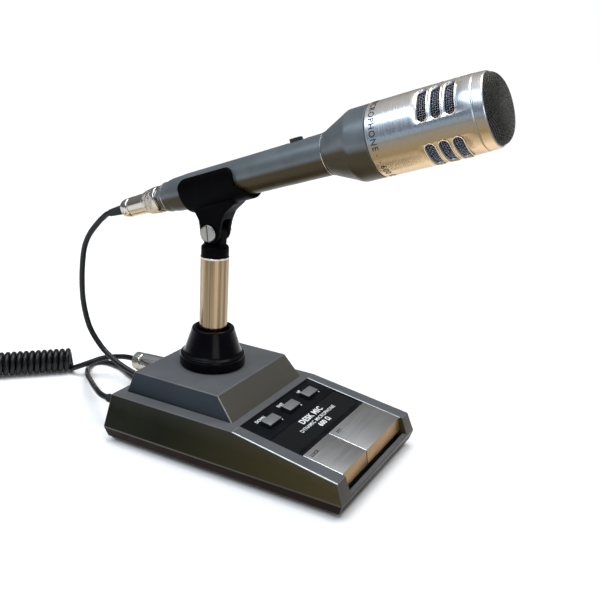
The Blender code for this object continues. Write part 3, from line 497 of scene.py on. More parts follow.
def makeMicCable():
    points = smoothRoute(micCable["route"], 2.6)
    piece = tube("mic_cable_jacket", points, micCable["radius"], 16, finishes["cord"], base)
    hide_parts("mic_cable")
    path = inFrame(points)
    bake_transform(piece)
    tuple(path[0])


def coilPoints():
    # The wire's own line: close turns round the coil's bent centre line, opened where that bends.
    centre = smoothRoute(radioCord["coil"], 0.25)
    tangents = np.gradient(centre, axis=0)
    tangents /= np.linalg.norm(tangents, axis=1)[:, None]
    step = np.linalg.norm(np.diff(centre, axis=0), axis=1)
    bend = np.linalg.norm(np.gradient(tangents, axis=0), axis=1) / step.mean()
    bend = np.convolve(bend, np.ones(41) / 41, mode="same")
    radius = radioCord["coilRadius"]
    pitch = (2 * radioCord["radius"] + radioCord["gap"]) / (1 - radius * bend * 1.15)
    turns = np.concatenate([[0], np.cumsum(step / pitch[1:])])
    startAngle, endAngle = math.radians(radioCord["startAngle"]), math.radians(radioCord["endAngle"])
    whole = round(turns[-1])
    turns *= (whole + (startAngle - endAngle) / (2 * math.pi)) / turns[-1]
    count = int(turns[-1] * radioCord["pointsPerTurn"])
    wanted = np.linspace(0, turns[-1], count)
    middle = np.array([np.interp(wanted, turns, centre[:, k]) for k in range(3)]).T
    ahead = np.array([np.interp(wanted, turns, tangents[:, k]) for k in range(3)]).T
    ahead /= np.linalg.norm(ahead, axis=1)[:, None]
    level = np.cross((0, 0, 1), ahead)
    level /= np.linalg.norm(level, axis=1)[:, None]
    upward = np.cross(ahead, level)
    angle = startAngle - wanted * 2 * math.pi
    return middle + radius * (np.cos(angle)[:, None] * level + np.sin(angle)[:, None] * upward)


def bridge(before, after):
    # A smooth stretch from the end of one line to the start of the next, without its two ends.
    start, end = before[-1], after[0]
    reach = np.linalg.norm(end - start)
    leave, arrive = start - before[-2], after[1] - end
    leave, arrive = leave / np.linalg.norm(leave) * reach, arrive / np.linalg.norm(arrive) * reach
    t = np.linspace(0, 1, max(5, int(reach * 1.1 / cordSpacing) + 1))[1:-1, None]
    return ((2 * t ** 3 - 3 * t ** 2 + 1) * start + (t ** 3 - 2 * t ** 2 + t) * leave
            + (3 * t ** 2 - 2 * t ** 3) * end + (t ** 3 - t ** 2) * arrive)


def makeRadioCord(plugPieces):
    turnsLine = coilPoints()
    lead, tail = smoothRoute(radioCord["lead"], cordSpacing), smoothRoute(radioCord["tail"], cordSpacing)
    points = np.concatenate([lead, bridge(lead, turnsLine), turnsLine, bridge(turnsLine, tail), tail])
    piece = tube("coiled_radio_cord", points, radioCord["radius"], 12, finishes["cord"], base)
    put(piece, "base", ["radio_lead", "curly_cord", "radio_lead_tail"])
    path = inFrame(points)
    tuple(path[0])


# Plugs.
def knurl(count, lean, depth, low, high):
    # A crossed pattern cut into a ring between two heights.
    def shape(angle, r, h):
        if not low < h < high:
            return r
        a, b = math.sin((angle * count + h * lean) / 2), math.sin((angle * count - h * lean) / 2)
        return r - depth * max(1 - abs(a) * 2.2, 1 - abs(b) * 2.2, 0)
    return shape


def fineRows(profile, low, high, step):
    # Adds rows to the straight stretch of a profile, where a pattern needs them.
    result = []
    for (r0, h0), (r1, h1) in zip(profile, profile[1:]):
        result.append((r0, h0))
        if min(h0, h1) >= low - 0.5 and max(h0, h1) <= high + 0.5 and abs(h1 - h0) > 3 * step:
            count = int(abs(h1 - h0) / step)
            result += [(r0 + (r1 - r0) * i / count, h0 + (h1 - h0) * i / count) for i in range(1, count)]
    return result + [profile[-1]]


plug = {"knurlCount": 44, "knurlLean": 5.2, "knurlDepth": 0.32, "ringSteps": 264}


def knurledRing(name, profile, low, high, place, body, node):
    rows = fineRows(profile, low, high, 0.32)
    piece = lathe(name, rows, place, finishes["chrome"], 0.25, plug["ringSteps"], True,
                  knurl(plug["knurlCount"], plug["knurlLean"], plug["knurlDepth"], low, high))
    return put(piece, body, [node])


def clampScrew(name, place, body):
    # A small slotted screw standing out of a plug's cable clamp.
    head = lathe(name, [(0, 1.1), (1.2, 1.1), (1.5, 0.7), (1.5, -0.8), (0, -0.8)], Matrix.Identity(4),
                 finishes["chrome"], 0.2, 32)
    boolean(head, blockMesh((-2, -0.25, 0.6), (2, 0.25, 2)))
    smooth(head.data)
    head.data.transform(place)
    return put(head, body)


def makeMicPlug():
    knurledRing("mic_plug_coupling_ring", [(9.0, -47.9), (9.45, -48.6), (9.4, -51), (8.5, -58.6), (8.1, -59.2),
                                           (7.1, -59.2), (7.1, -47.9)], -58.2, -49.4, mic, "mic_coupling_ring",
                "mic_plug_ring")
    barrel = lathe("mic_plug_body", [(0, -56.8), (6.7, -56.8), (6.7, -59.5), (7.8, -59.5), (7.75, -61.0),
                                     (7.35, -61.4), (6.95, -74.7), (6.5, -75.6), (0, -75.6)],
                   mic, finishes["chrome"], 0.3, 72)
    put(barrel, "microphone", ["mic_plug_barrel"])
    clamp = lathe("mic_plug_cable_clamp", [(0, -75.9), (6.3, -75.9), (6.9, -76.8), (6.75, -79.5), (6.1, -82.4),
                                           (4.4, -83.9), (0, -84)], mic, finishes["chrome"], 0.6, 72)
    put(clamp, "microphone", ["mic_plug_clamp"])
    side = mic @ Matrix.Translation((0, 0, -79.6 * mm)) @ Matrix.Rotation(math.radians(205), 4, "Z")
    outward = Matrix.Translation((6.4 * mm, 0, 0)) @ Matrix.Rotation(math.pi / 2, 4, "Y")
    clampScrew("mic_plug_clamp_screw", side @ outward, "microphone")
    rows = [(0, -84.3), (3.6, -84.3), (3.5, -87)] + [(3.5 - 0.8 * (h + 87) / -11 - (0.25 if i % 2 else 0), h)
                                                    for i, h in enumerate(np.arange(-87.4, -97.4, -0.7))]
    boot = lathe("mic_plug_strain_relief", rows + [(2.6, -98), (0, -98)], mic, finishes["rubber"], 0.2, 40)
    put(boot, "microphone", ["mic_plug_boot"])
    connector = lathe("mic_socket", [(0, -37), (7.5, -37), (7.5, -46.5), (6.8, -47.2), (6.8, -56.5), (0, -56.5)],
                      mic, finishes["chrome"], 0.3, 64)
    put(connector, "microphone", ["mic_connector"])


def makeLeadPlug():
    socket = base @ Matrix.Translation((28 * mm, 0, 21 * mm)) @ toRear
    knurledRing("lead_plug_coupling_ring", [(9.2, 107.5), (9.45, 106.7), (9.45, 98), (9.2, 95.2), (7.0, 95.2),
                                            (7.0, 107.5)], 97.4, 106.2, socket, "lead_coupling_ring",
                "lead_plug_ring")
    barrel = lathe("lead_plug_body", [(0, 127), (7.2, 127), (7.5, 126.2), (8.3, 110.6), (8.4, 107.8), (6.6, 107.8),
                                      (6.6, 94.8), (0, 94.8)], socket, finishes["chrome"], 0.3, 72)
    put(barrel, "base", ["lead_plug_barrel"])
    clamp = lathe("lead_plug_cable_clamp", [(0, 136), (4.6, 136), (7.1, 134.5), (7.2, 128.4), (6.5, 127.3),
                                            (0, 127.3)], socket, finishes["chrome"], 0.5, 64)
    put(clamp, "base", ["lead_plug_clamp"])
    for number, turn in enumerate((125, 235)):
        side = socket @ Matrix.Translation((0, 0, 131 * mm)) @ Matrix.Rotation(math.radians(turn), 4, "Z")
        clampScrew("lead_plug_clamp_screw_%d" % (number + 1),
                   side @ Matrix.Translation((6.7 * mm, 0, 0)) @ Matrix.Rotation(math.pi / 2, 4, "Y"), "base")
    shell = lathe("radio_lead_socket", [(0, 94.5), (6.6, 94.5), (6.6, 91.2), (7.4, 91.2), (7.4, 84), (0, 84)],
                  socket, finishes["chrome"], 0.2, 64)
    put(shell, "base", ["rear_socket"])
    gland = base @ Matrix.Translation((-42 * mm, 0, 23 * mm)) @ toRear
    rows = [(0, 104), (2.7, 104)] + [(2.75 + 0.8 * (104 - h) / 11 + (0.25 if i % 2 else 0), h)
                                     for i, h in enumerate(np.arange(103.4, 93.4, -0.8))]
    sleeve = lathe("cable_gland_sleeve", rows + [(3.6, 92), (3.6, 86), (0, 86)], gland, finishes["rubber"], 0.2, 40)
    put(sleeve, "base", ["cable_gland"])


def makeRadioPlug():
    turned = Matrix.Rotation(math.radians(-25), 4, "Z") @ toRear
    start = base @ Matrix.Translation((-66.9 * mm, 201.8 * mm, 9.6 * mm)) @ turned
    ring = knurledRing("radio_plug_coupling_ring", [(9.2, 41.0), (9.45, 40.2), (9.45, 29.5), (9.2, 28.5), (7.0, 28.5),
                                                    (7.0, 41.0)], 30.2, 39.4, start, "radio_coupling_ring",
                       "radio_plug_ring")
    barrel = lathe("radio_plug_body", [(0, 37.2), (5.9, 37.2), (5.9, 40), (6.6, 40), (6.6, 28.2), (8.3, 28.2),
                                       (8.4, 26), (7.4, 9.2), (6.9, 8.8), (6.9, 8.0), (7.2, 7.5), (7.2, 2),
                                       (5.2, 0), (0, 0)], start, finishes["chrome"], 0.3, 72)
    put(barrel, "base", ["radio_plug_barrel"])
    grid = bmesh.new()
    for angle in [None] + [math.radians(360 / 7 * i) for i in range(7)]:
        spot = (0, 0) if angle is None else (3.6 * math.cos(angle), 3.6 * math.sin(angle))
        made = bmesh.ops.create_cone(grid, cap_ends=True, segments=12, radius1=0.5, radius2=0.35, depth=2.4)
        bmesh.ops.translate(grid, verts=made["verts"], vec=(spot[0], spot[1], 38.45))
    bmesh.ops.scale(grid, vec=(mm, mm, mm), verts=grid.verts)
    mesh = bpy.data.meshes.new("radio_plug_pins")
    grid.to_mesh(mesh)
    grid.free()
    smooth(mesh)
    mesh.transform(start)
    pins = put(newPiece("radio_plug_pins", mesh, finishes["pins"]), "base")
    return [ring, barrel, pins]


makeMicCable()
makeRadioCord(makeRadioPlug())
makeMicPlug()
makeLeadPlug()
print("cords and plugs made")

# Base.
housing = {"bottomHalf": 57.0, "wideHalf": 60.0, "rimHalf": 56.6, "wideZ": 11.0, "rimZ": 35.7, "frontBottom": 88.9,
           "frontWide": 92.3, "frontRim": 87.1, "frontRimZ": 24.2, "rearBottom": 88.7, "rearWide": 92.3,
           "rearRim": 87.5, "lowZ": 3.7, "wall": 2.6, "slopeWall": 4.2, "kinkY": -10.8, "ledgeZ": 13.0, "bay": 47.0,
           "edge": 0.6, "rimCut": 0.45, "bayLength": 75.6}
hump = {"lowHalf": 47.0, "topHalf": 44.8, "rearLow": 81.7, "rearTop": 76.9, "frontLow": 4.7, "frontTop": -8.5,
        "topZ": 51.0, "edge": 0.7}
panel = {"start": 0.3, "end": 46.2, "drop": 0.8, "thick": 1.7, "nameStart": 22.3, "nameEnd": 42.8,
         "buttonX": (-27.0, -0.3, 26.4), "buttonV": 11.9, "buttonSize": (14.6, 7.6), "buttonRise": 3.0}
keys = {"start": 46.9, "end": 75.1, "split": -10.9, "depth": 9.6, "wall": 1.6, "hingeV": 50.6, "hingeDrop": 6.0,
        "rod": 1.5}


def outerCuts(inset=0.0, slopeInset=0.0):
    h = housing
    cuts = []
    for sign in (-1, 1):
        cuts.append(wallCut(0, sign, (h["bottomHalf"], 0), (h["wideHalf"], h["wideZ"]), inset))
        cuts.append(wallCut(0, sign, (h["wideHalf"], h["wideZ"]), (h["rimHalf"], h["rimZ"]), inset))
    cuts.append(wallCut(1, -1, (h["frontBottom"], 0), (h["frontWide"], h["wideZ"]), inset))
    cuts.append(wallCut(1, -1, (h["frontWide"], h["wideZ"]), (h["frontRim"], h["frontRimZ"]), inset))
    cuts.append(wallCut(1, 1, (h["rearBottom"], 0), (h["rearWide"], h["wideZ"]), inset))
    cuts.append(wallCut(1, 1, (h["rearWide"], h["wideZ"]), (h["rearRim"], h["rimZ"]), inset))
    slant = Vector((0, -math.sin(levels["slope"]), math.cos(levels["slope"])))
    cuts.append((Vector((0, h["kinkY"], h["rimZ"])) - slant * slopeInset, slant))
    return cuts


def humpCuts(inset=0.0):
    h, rim = hump, housing["rimZ"]
    cuts = [wallCut(0, sign, (h["lowHalf"], rim), (h["topHalf"], h["topZ"]), inset) for sign in (-1, 1)]
    cuts.append(wallCut(1, 1, (h["rearLow"], rim), (h["rearTop"], h["topZ"]), inset))
    cuts.append(wallCut(1, -1, (h["frontLow"], rim), (h["frontTop"], h["topZ"]), inset))
    return cuts


def roundMesh(radius, low, high, steps=64, axis="Z"):
    grid = bmesh.new()
    bmesh.ops.create_cone(grid, cap_ends=True, segments=steps, radius1=radius * mm, radius2=radius * mm,
                          depth=(high - low) * mm)
    bmesh.ops.translate(grid, verts=grid.verts, vec=(0, 0, (high + low) / 2 * mm))
    turn = {"X": Matrix.Rotation(math.pi / 2, 4, "Y"), "Y": toRear, "Z": Matrix.Identity(4)}[axis]
    bmesh.ops.transform(grid, matrix=turn, verts=grid.verts)
    mesh = bpy.data.meshes.new("round")
    grid.to_mesh(mesh)
    grid.free()
    return mesh


def makeHousing():
    h, p = housing, panel
    reach, wall, bay = 100, h["wall"], h["bay"]
    body = blockMesh((-reach, -reach, h["lowZ"]), (reach, reach, h["rimZ"]), outerCuts(), h["edge"], 3)
    piece = newPiece("base_shell", body, [finishes["basePaint"], finishes["baseEdge"], finishes["wornAndHighlightEdge"]])
    block = blockMesh((-reach, -reach, 30), (reach, reach, hump["topZ"]), humpCuts(), hump["edge"], 3)
    boolean(piece, block, operation="UNION")
    bayRear = h["kinkY"] - (p["end"] + 0.3) * math.cos(levels["slope"])
    boolean(piece, blockMesh((-reach, bayRear, -10), (reach, reach, h["rimZ"] - wall), outerCuts(wall, h["slopeWall"])))
    boolean(piece, blockMesh((-reach, -reach, 20), (reach, reach, hump["topZ"] - wall), humpCuts(wall)))
    slanted = base.inverted() @ deck
    boolean(piece, blockMesh((-bay, -p["end"] - 0.6, -p["drop"] - p["thick"] - 0.3), (bay, -p["start"] + 0.3, 20)),
            slanted)
    boolean(piece, blockMesh((-bay + 3, -p["end"] - 0.6, -20), (bay - 3, -p["start"] - 3, 20)), slanted)
    chamfer = [wallCut(0, sign, (bay, -h["rimCut"]), (bay + h["rimCut"], 0)) for sign in (-1, 1)]
    chamfer.append(wallCut(1, 1, (-p["start"] + 0.3, -h["rimCut"]), (-p["start"] + 0.3 + h["rimCut"], 0)))
    boolean(piece, blockMesh((-bay - 3, -h["bayLength"], -h["rimCut"]), (bay + 3, 3, 3),
                             [(point, Vector(normal)) for point, normal in chamfer]), slanted)
    boolean(piece, blockMesh((-bay, -120, h["ledgeZ"]), (bay, bayRear + 0.5, 60)))
    boolean(piece, blockMesh((-bay, -reach, -10), (bay, bayRear + 0.5, h["ledgeZ"] + 1), outerCuts(wall)))
    boolean(piece, roundMesh(10.25, 40, 60), Matrix.Translation((0, levels["postY"], 0)))
    boolean(piece, roundMesh(7.8, 80, 100, 48, "Y"), Matrix.Translation((28 * mm, 0, 21 * mm)))
    boolean(piece, roundMesh(3.9, 80, 100, 32, "Y"), Matrix.Translation((-42 * mm, 0, 23 * mm)))
    smooth(piece.data, 28)
    piece.data.transform(slanted.inverted())
    # the rim's left edge, the bay chamfers and the hump's front-left edge take the lighter bare metal: partly worn
    # paint, partly painted highlight
    for face in piece.data.polygons:
        spot, normal = face.center / mm, face.normal
        rimEdge = face.material_index == 1 and spot.x < -54 and abs(spot.z) < 1.2 and -78 < spot.y < -1
        innerEdge = 0.55 < normal.z < 0.85 and abs(normal.x) > 0.5 and abs(spot.z) < 0.6 and abs(spot.x) < bay + 1
        if rimEdge and normal.z > 0.3 or innerEdge:
            face.material_index = 2
        humpEdge = face.material_index == 1 and spot.x < -43 and spot.z > 2 and normal.x < -0.25
        if humpEdge and normal.y < -0.25 and spot.y > -12 and spot.y < 20:
            face.material_index = 2
    piece.data.transform(slanted)
    piece.data.transform(base)
    put(piece, "base", ["base_housing"])


makeHousing()
print("housing made")


# What stays as the frame has it, with its finish.
kept = {"ballast_plate": "castIron", "switch_bracket": "steel", "key_hinge_rod": "steel", "circuit_board": "board",
        "down_switch": "buttonSide", "fast_switch": "buttonSide", "up_switch": "buttonSide",
        "lock_microswitch": "buttonSide", "ptt_microswitch": "buttonSide", "lock_plunger": "brass",
        "ptt_plunger": "brass", "post_nut": "steel",
        "transformer": "steel", "switch_body": "buttonSide", "capsule": "screenBack", "slot_screen": "screenBack"}
for node, finish in kept.items():
    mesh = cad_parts[node].data
    mesh.materials.clear()
    mesh.materials.append(finishes[finish])

for lever in ("lock", "ptt"):
    # each key's return spring, a copy of the frame's own spring
    coil = newPiece(lever + "_key_spring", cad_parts[lever + "_spring"].data.copy(), finishes["steel"])
    put(coil, "base", [lever + "_spring"])
    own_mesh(coil)


def screwHeads(name, spots, place, body, radius=2.6):
    # countersunk cross-head screws, one on each point, made by a small node tree
    s = {"Radius": radius * mm, "Height": 0.7 * mm, "Cross": 0.3 * radius * mm}
    tree = bpy.data.node_groups.new(name, "GeometryNodeTree")
    tree.interface.new_socket("Geometry", in_out="OUTPUT", socket_type="NodeSocketGeometry")
    tree.interface.new_socket("Geometry", in_out="INPUT", socket_type="NodeSocketGeometry")
    for key in s:
        tree.interface.new_socket(key, in_out="INPUT", socket_type="NodeSocketFloat")
    nodes, links = tree.nodes, tree.links
    given, result = nodes.new("NodeGroupInput"), nodes.new("NodeGroupOutput")
    head = nodes.new("GeometryNodeMeshCone")
    head.inputs["Vertices"].default_value = 32
    links.new(given.outputs["Radius"], head.inputs["Radius Bottom"])
    links.new(given.outputs["Height"], head.inputs["Depth"])
    narrower = nodes.new("ShaderNodeMath")
    narrower.operation = "MULTIPLY"
    narrower.inputs[1].default_value = 0.86
    links.new(given.outputs["Radius"], narrower.inputs[0])
    links.new(narrower.outputs[0], head.inputs["Radius Top"])
    cross = nodes.new("GeometryNodeMeshCone")
    cross.inputs["Vertices"].default_value = 4
    cross.inputs["Radius Bottom"].default_value = 0.0002
    links.new(given.outputs["Cross"], cross.inputs["Radius Top"])
    links.new(given.outputs["Height"], cross.inputs["Depth"])
    lifted = nodes.new("GeometryNodeTransform")
    lift = nodes.new("ShaderNodeCombineXYZ")
    half = nodes.new("ShaderNodeMath")
    half.operation = "MULTIPLY"
    half.inputs[1].default_value = 0.45
    links.new(given.outputs["Height"], half.inputs[0])
    links.new(half.outputs[0], lift.inputs["Z"])
    links.new(cross.outputs["Mesh"], lifted.inputs["Geometry"])
    links.new(lift.outputs[0], lifted.inputs["Translation"])
    cut = nodes.new("GeometryNodeMeshBoolean")
    cut.operation = "DIFFERENCE"
    links.new(head.outputs["Mesh"], cut.inputs["Mesh 1"])
    links.new(lifted.outputs["Geometry"], cut.inputs["Mesh 2"])
    copies = nodes.new("GeometryNodeInstanceOnPoints")
    links.new(given.outputs["Geometry"], copies.inputs["Points"])
    links.new(cut.outputs["Mesh"], copies.inputs["Instance"])
    real, coloured = nodes.new("GeometryNodeRealizeInstances"), nodes.new("GeometryNodeSetMaterial")
    coloured.inputs["Material"].default_value = finishes["screwChrome"]
    links.new(copies.outputs[0], real.inputs[0])
    links.new(real.outputs[0], coloured.inputs["Geometry"])
    links.new(coloured.outputs[0], result.inputs[0])
    mesh = bpy.data.meshes.new(name)
    mesh.from_pydata([Vector(spot) * mm for spot in spots], [], [])
    piece = newPiece(name, mesh, finishes["screwChrome"])
    modifier = piece.modifiers.new("screws", "NODES")
    modifier.node_group = tree
    for item in tree.interface.items_tree:
        if item.in_out == "INPUT" and item.name in s:
            modifier[item.identifier] = s[item.name]
    applyModifiers(piece)
    smooth(piece.data)
    piece.data.transform(place)
    return put(piece, body)


def makeUnderside():
    plate = blockMesh((-56.4, -88, 2.0), (56.4, 88, 3.4), (), 0.5, 2)
    plate.transform(base)
    put(newPiece("bottom_cover", plate, [finishes["bottomPaint"]] * 2), "base", ["bottom_plate"])
    under = base @ Matrix.Rotation(math.pi, 4, "X")
    screwHeads("bottom_cover_screws", [(x, y, -1.9) for x in (-52, 52) for y in (-60, 0, 60)], under, "base")
    number = 0
    for x in (-44, 44):
        for y in (-76, 76):
            number += 1
            foot = lathe("rubber_foot_%d" % number, [(0, 1.7), (6.5, 1.7), (6.2, 0), (3.2, 0), (2.8, 0.7), (0, 0.7)],
                         base @ Matrix.Translation((x * mm, y * mm, 0)), finishes["rubber"], 0.35, 48)
            put(foot, "base", ["foot_%d" % number])


def lettering(name, words, size, material, place, body, wrap=None, width=1.0, bold=0.0):
    # printed words as very thin raised letters; wrap bends them round a radius in mm
    curve = bpy.data.curves.new(name, "FONT")
    curve.body = words
    curve.size = size * mm
    curve.extrude = 0.03 * mm
    curve.offset = bold * mm
    curve.align_x, curve.align_y = "CENTER", "CENTER"
    curve.space_character = width
    curve.resolution_u = 4
    holder = bpy.data.objects.new(name, curve)
    bpy.context.scene.collection.objects.link(holder)
    bpy.context.view_layer.update()
    mesh = bpy.data.meshes.new_from_object(holder.evaluated_get(bpy.context.evaluated_depsgraph_get()))
    bpy.data.objects.remove(holder, do_unlink=True)
    grid = bmesh.new()
    grid.from_mesh(mesh)
    bmesh.ops.remove_doubles(grid, verts=grid.verts, dist=1e-6)
    if wrap:
        for vert in grid.verts:
            angle = vert.co.x / (wrap * mm)
            radius = wrap * mm + vert.co.z
            vert.co = (radius * math.cos(angle), radius * math.sin(angle), vert.co.y)
    bmesh.ops.recalc_face_normals(grid, faces=grid.faces)
    grid.to_mesh(mesh)
    grid.free()
    mesh.name = name
    mesh.materials.clear()
    mesh.transform(place)
    return put(newPiece(name, mesh, material), body)


def byFacing(mesh, direction, index, limit=0.9):
    # gives the faces that look along a direction their own finish
    wanted = Vector(direction).normalized()
    for face in mesh.polygons:
        if face.normal.dot(wanted) > limit:
            face.material_index = index


def makePanel():
    p, bay = panel, housing["bay"]
    plate = blockMesh((-bay + 0.3, -p["end"], -p["drop"] - p["thick"]), (bay - 0.3, -p["start"] - 0.3, -p["drop"]),
                      (), 0.25, 2)
    piece = newPiece("panel_plate", plate, [finishes["panelBlack"], finishes["barGrey"]])
    for x in p["buttonX"]:
        hx, hv = p["buttonSize"][0] / 2 + 0.4, p["buttonSize"][1] / 2 + 0.4
        boolean(piece, blockMesh((x - hx, -p["buttonV"] - hv, -20), (x + hx, -p["buttonV"] + hv, 20)))
    sunk = p["drop"] + 0.8
    boolean(piece, blockMesh((-bay + 1.2, -p["nameEnd"], -sunk), (bay - 1.2, -p["nameStart"], 20)))
    byFacing(piece.data, (0, 0, 1), 0)
    for face in piece.data.polygons:
        if face.center.y < -p["nameEnd"] * mm and face.normal.z > 0.9:
            face.material_index = 1
    smooth(piece.data)
    piece.data.transform(deck)
    put(piece, "base", ["control_panel"])
    edge = 1.5
    card = blockMesh((-bay + edge, -p["nameEnd"] + 0.3, -sunk + 0.1), (bay - edge, -p["nameStart"] - 0.3, -sunk + 0.6),
                     (), 0.15, 2)
    card.transform(deck)
    put(newPiece("name_card", card, [finishes["nameBlack"], finishes["barGrey"]]), "base", ["name_plate"])
    top, printed = -p["drop"] + 0.03, finishes["print"]
    for label, x in zip(("DOWN", "FAST", "UP"), p["buttonX"]):
        spot = deck @ Matrix.Translation(((x - 2.2) * mm, (-p["buttonV"] + 6.9) * mm, top * mm))
        lettering("print_" + label.lower(), label, 3.3, printed, spot, "base", None, 1.0, 0.08)
        dot = roundMesh(0.55, -0.03, 0.03, 20)
        dot.transform(deck @ Matrix.Translation(((x + 9.6) * mm, (-p["buttonV"] - 3.4) * mm, top * mm)))
        put(newPiece("print_dot_" + label.lower(), dot, printed), "base")
    low = -sunk + 0.63
    for name, words, size, v, bold in (("print_line_1", "DESK MIC", 6.2, 27.0, 0.2),
                                       ("print_line_2", "DYNAMIC MICROPHONE", 4.0, 32.6, 0.03),
                                       ("print_line_3", "600 Ω", 5.2, 37.6, 0.2)):
        spot = deck @ Matrix.Translation((2.5 * mm, -v * mm, low * mm))
        lettering(name, words, size, printed, spot, "base", None, 1.1, bold)


def makeButtons():
    p = panel
    for label, x in zip(("down", "fast", "up"), p["buttonX"]):
        hx, hv = p["buttonSize"][0] / 2, p["buttonSize"][1] / 2
        cap = blockMesh((-hx, -hv, -p["drop"] - 1.9), (hx, hv, p["buttonRise"] - p["drop"]), (), 0.45, 3)
        piece = newPiece(label + "_button_cap", cap, [finishes["buttonSide"], finishes["buttonTop"]])
        byFacing(piece.data, (0, 0, 1), 1, 0.6)
        for face in piece.data.polygons:
            if face.normal.z <= 0.6:
                face.material_index = 0
        boolean(piece, roundMesh(1.5, -8.6, -2, 24), operation="UNION")
        smooth(piece.data)
        piece.data.transform(deck @ Matrix.Translation((x * mm, -p["buttonV"] * mm, 0)))
        put(piece, label + "_push", [label + "_button"])


def makeKey(label, low, high):
    k = keys
    hinge = deck @ Matrix.Translation((0, -k["hingeV"] * mm, -k["hingeDrop"] * mm))
    slant = k["depth"] * math.tan(math.radians(18))
    rear, front = k["hingeV"] - k["start"], k["hingeV"] - k["end"]
    lean = (Vector((0, front, k["hingeDrop"])), Vector((0, -k["depth"], slant)).normalized())
    cap = blockMesh((low, front - slant, k["hingeDrop"] - k["depth"]), (high, rear, k["hingeDrop"]), [lean], 0.32, 3)
    piece = newPiece(label + "_key_cap", cap, [finishes["keyTop"], finishes["keyEdge"], finishes["keyFrontReflection"],
                                               finishes["buttonSide"]])
    inner = (lean[0] - lean[1] * k["wall"], lean[1])
    hollow = blockMesh((low + k["wall"], front - slant, -30), (high - k["wall"], rear - k["wall"],
                       k["hingeDrop"] - k["wall"]), [inner])
    boolean(piece, hollow)
    boolean(piece, roundMesh(k["rod"] + 0.2, -60, 60, 32, "X"))
    byFacing(piece.data, lean[1], 2, 0.97)
    byFacing(piece.data, (0, 1, 0), 3, 0.95)
    for face in piece.data.polygons:
        if face.material_index == 1 and face.normal.z < 0.3:
            face.material_index = 3
    smooth(piece.data)
    piece.data.transform(hinge)
    put(piece, label + "_lever", [label + "_key"])
    words = {"lock": "LOCK", "ptt": "PTT"}[label]
    spot = hinge @ Matrix.Translation(((low + 8.0) * mm, (rear - 4.4) * mm, (k["hingeDrop"] + 0.03) * mm))
    lettering("print_" + label + "_key", words, 3.6, finishes["darkPrint"], spot, label + "_lever", None,
              1.0, 0.05)


makeUnderside()
makePanel()
makeButtons()
makeKey("lock", -housing["bay"] + 0.4, keys["split"] - 0.3)
makeKey("ptt", keys["split"] + 0.3, housing["bay"] - 0.4)
print("panel, buttons and keys made")

# Post, boot and clip.
postShape = {"radius": 9.85, "top": 130.0, "low": 37.0, "bore": 10.15, "grubTurn": 28.0}
clip = {"voxel": 0.55, "softening": 12, "corner": 6.0, "mouth": 8.7, "middle": 1.2, "half": 21.8, "nose": 27.6}


def makePost():
    r, bore = postShape["radius"], postShape["bore"]
    rod = lathe("post_rod", [(r, postShape["top"]), (r, postShape["low"]), (r - 1.5, postShape["low"]),
                             (r - 1.5, postShape["top"])], post, finishes["postSteel"], 0.3, 128, True)
    put(rod, "base", ["post_tube"])
    trim = lathe("post_top_ring", [(9.7, 130.25), (10.0, 130.0), (10.0, 128.9), (9.7, 128.7)], post, finishes["chrome"],
                 0.1, 96, True)
    put(trim, "base")
    boot = lathe("post_boot_cover", [(13.4, 79.0), (14.9, 78.3), (15.4, 76.2), (20.0, 61.9), (21.0, 60.5), (22.6, 60.0),
                                     (23.2, 58.6), (23.2, 52.2), (22.7, 51.3), (bore, 51.3), (bore, 75.0),
                                     (11.4, 77.4), (12.6, 78.7)], post, finishes["bootBlack"], 1.1, 128, True, None, 6)
    put(boot, "base", ["post_boot"])
    collar = lathe("swivel_collar", [(0, 139.2), (7.4, 139.2), (7.6, 138.5), (8.9, 137.7), (9.55, 136.6), (9.55, 130.3),
                                     (8.0, 130.3), (8.0, 121), (0, 121)], Matrix.Identity(4),
                   finishes["fittingBlack"], 0.5, 96)
    arcPoints = [(7.0 * math.cos(a), 147.3 + 7.0 * math.sin(a)) for a in np.radians(range(0, 181, 7))]
    tongue = outlinePlate(arcPoints + [(-7.0, 138), (7.0, 138)], -3.7, 3.7, 0.4)
    boolean(collar, tongue, operation="UNION")
    boolean(collar, roundMesh(2.8, -20, 20, 32, "X"), Matrix.Translation((0, 0, 147.3 * mm)))
    turn = Matrix.Translation((0, 0, 134 * mm)) @ Matrix.Rotation(math.pi + math.radians(postShape["grubTurn"]), 4, "Z")
    boolean(collar, roundMesh(1.5, 7.6, 12, 24, "Y"), turn)
    smooth(collar.data)
    collar.data.transform(post)
    put(collar, "base", ["swivel_knuckle"])
    grub = lathe("collar_grub_screw", [(0, 9.0), (0.55, 9.0), (0.6, 9.7), (1.2, 9.7), (1.2, 8.0), (0, 8.0)], toRear,
                 finishes["chrome"], 0.12, 24)
    grub.data.transform(post @ turn)
    put(grub, "base", ["collar_screw"])


def outlinePlate(points, low, high, bevel=0.0):
    # an outline in Y and Z, in mm, made a plate between two X values
    grid = bmesh.new()
    rings = [[grid.verts.new((x, y, z)) for y, z in points] for x in (low, high)]
    for i in range(len(points)):
        j = (i + 1) % len(points)
        grid.faces.new([rings[0][i], rings[0][j], rings[1][j], rings[1][i]])
    ends = [grid.faces.new(rings[0]), grid.faces.new(rings[1])]
    if bevel:
        edges = list({edge for face in ends for edge in face.edges})
        bmesh.ops.bevel(grid, geom=edges, offset=bevel, segments=2, profile=0.5, affect="EDGES")
    bmesh.ops.recalc_face_normals(grid, faces=grid.faces)
    bmesh.ops.scale(grid, vec=(mm, mm, mm), verts=grid.verts)
    mesh = bpy.data.meshes.new("plate")
    grid.to_mesh(mesh)
    grid.free()
    return mesh


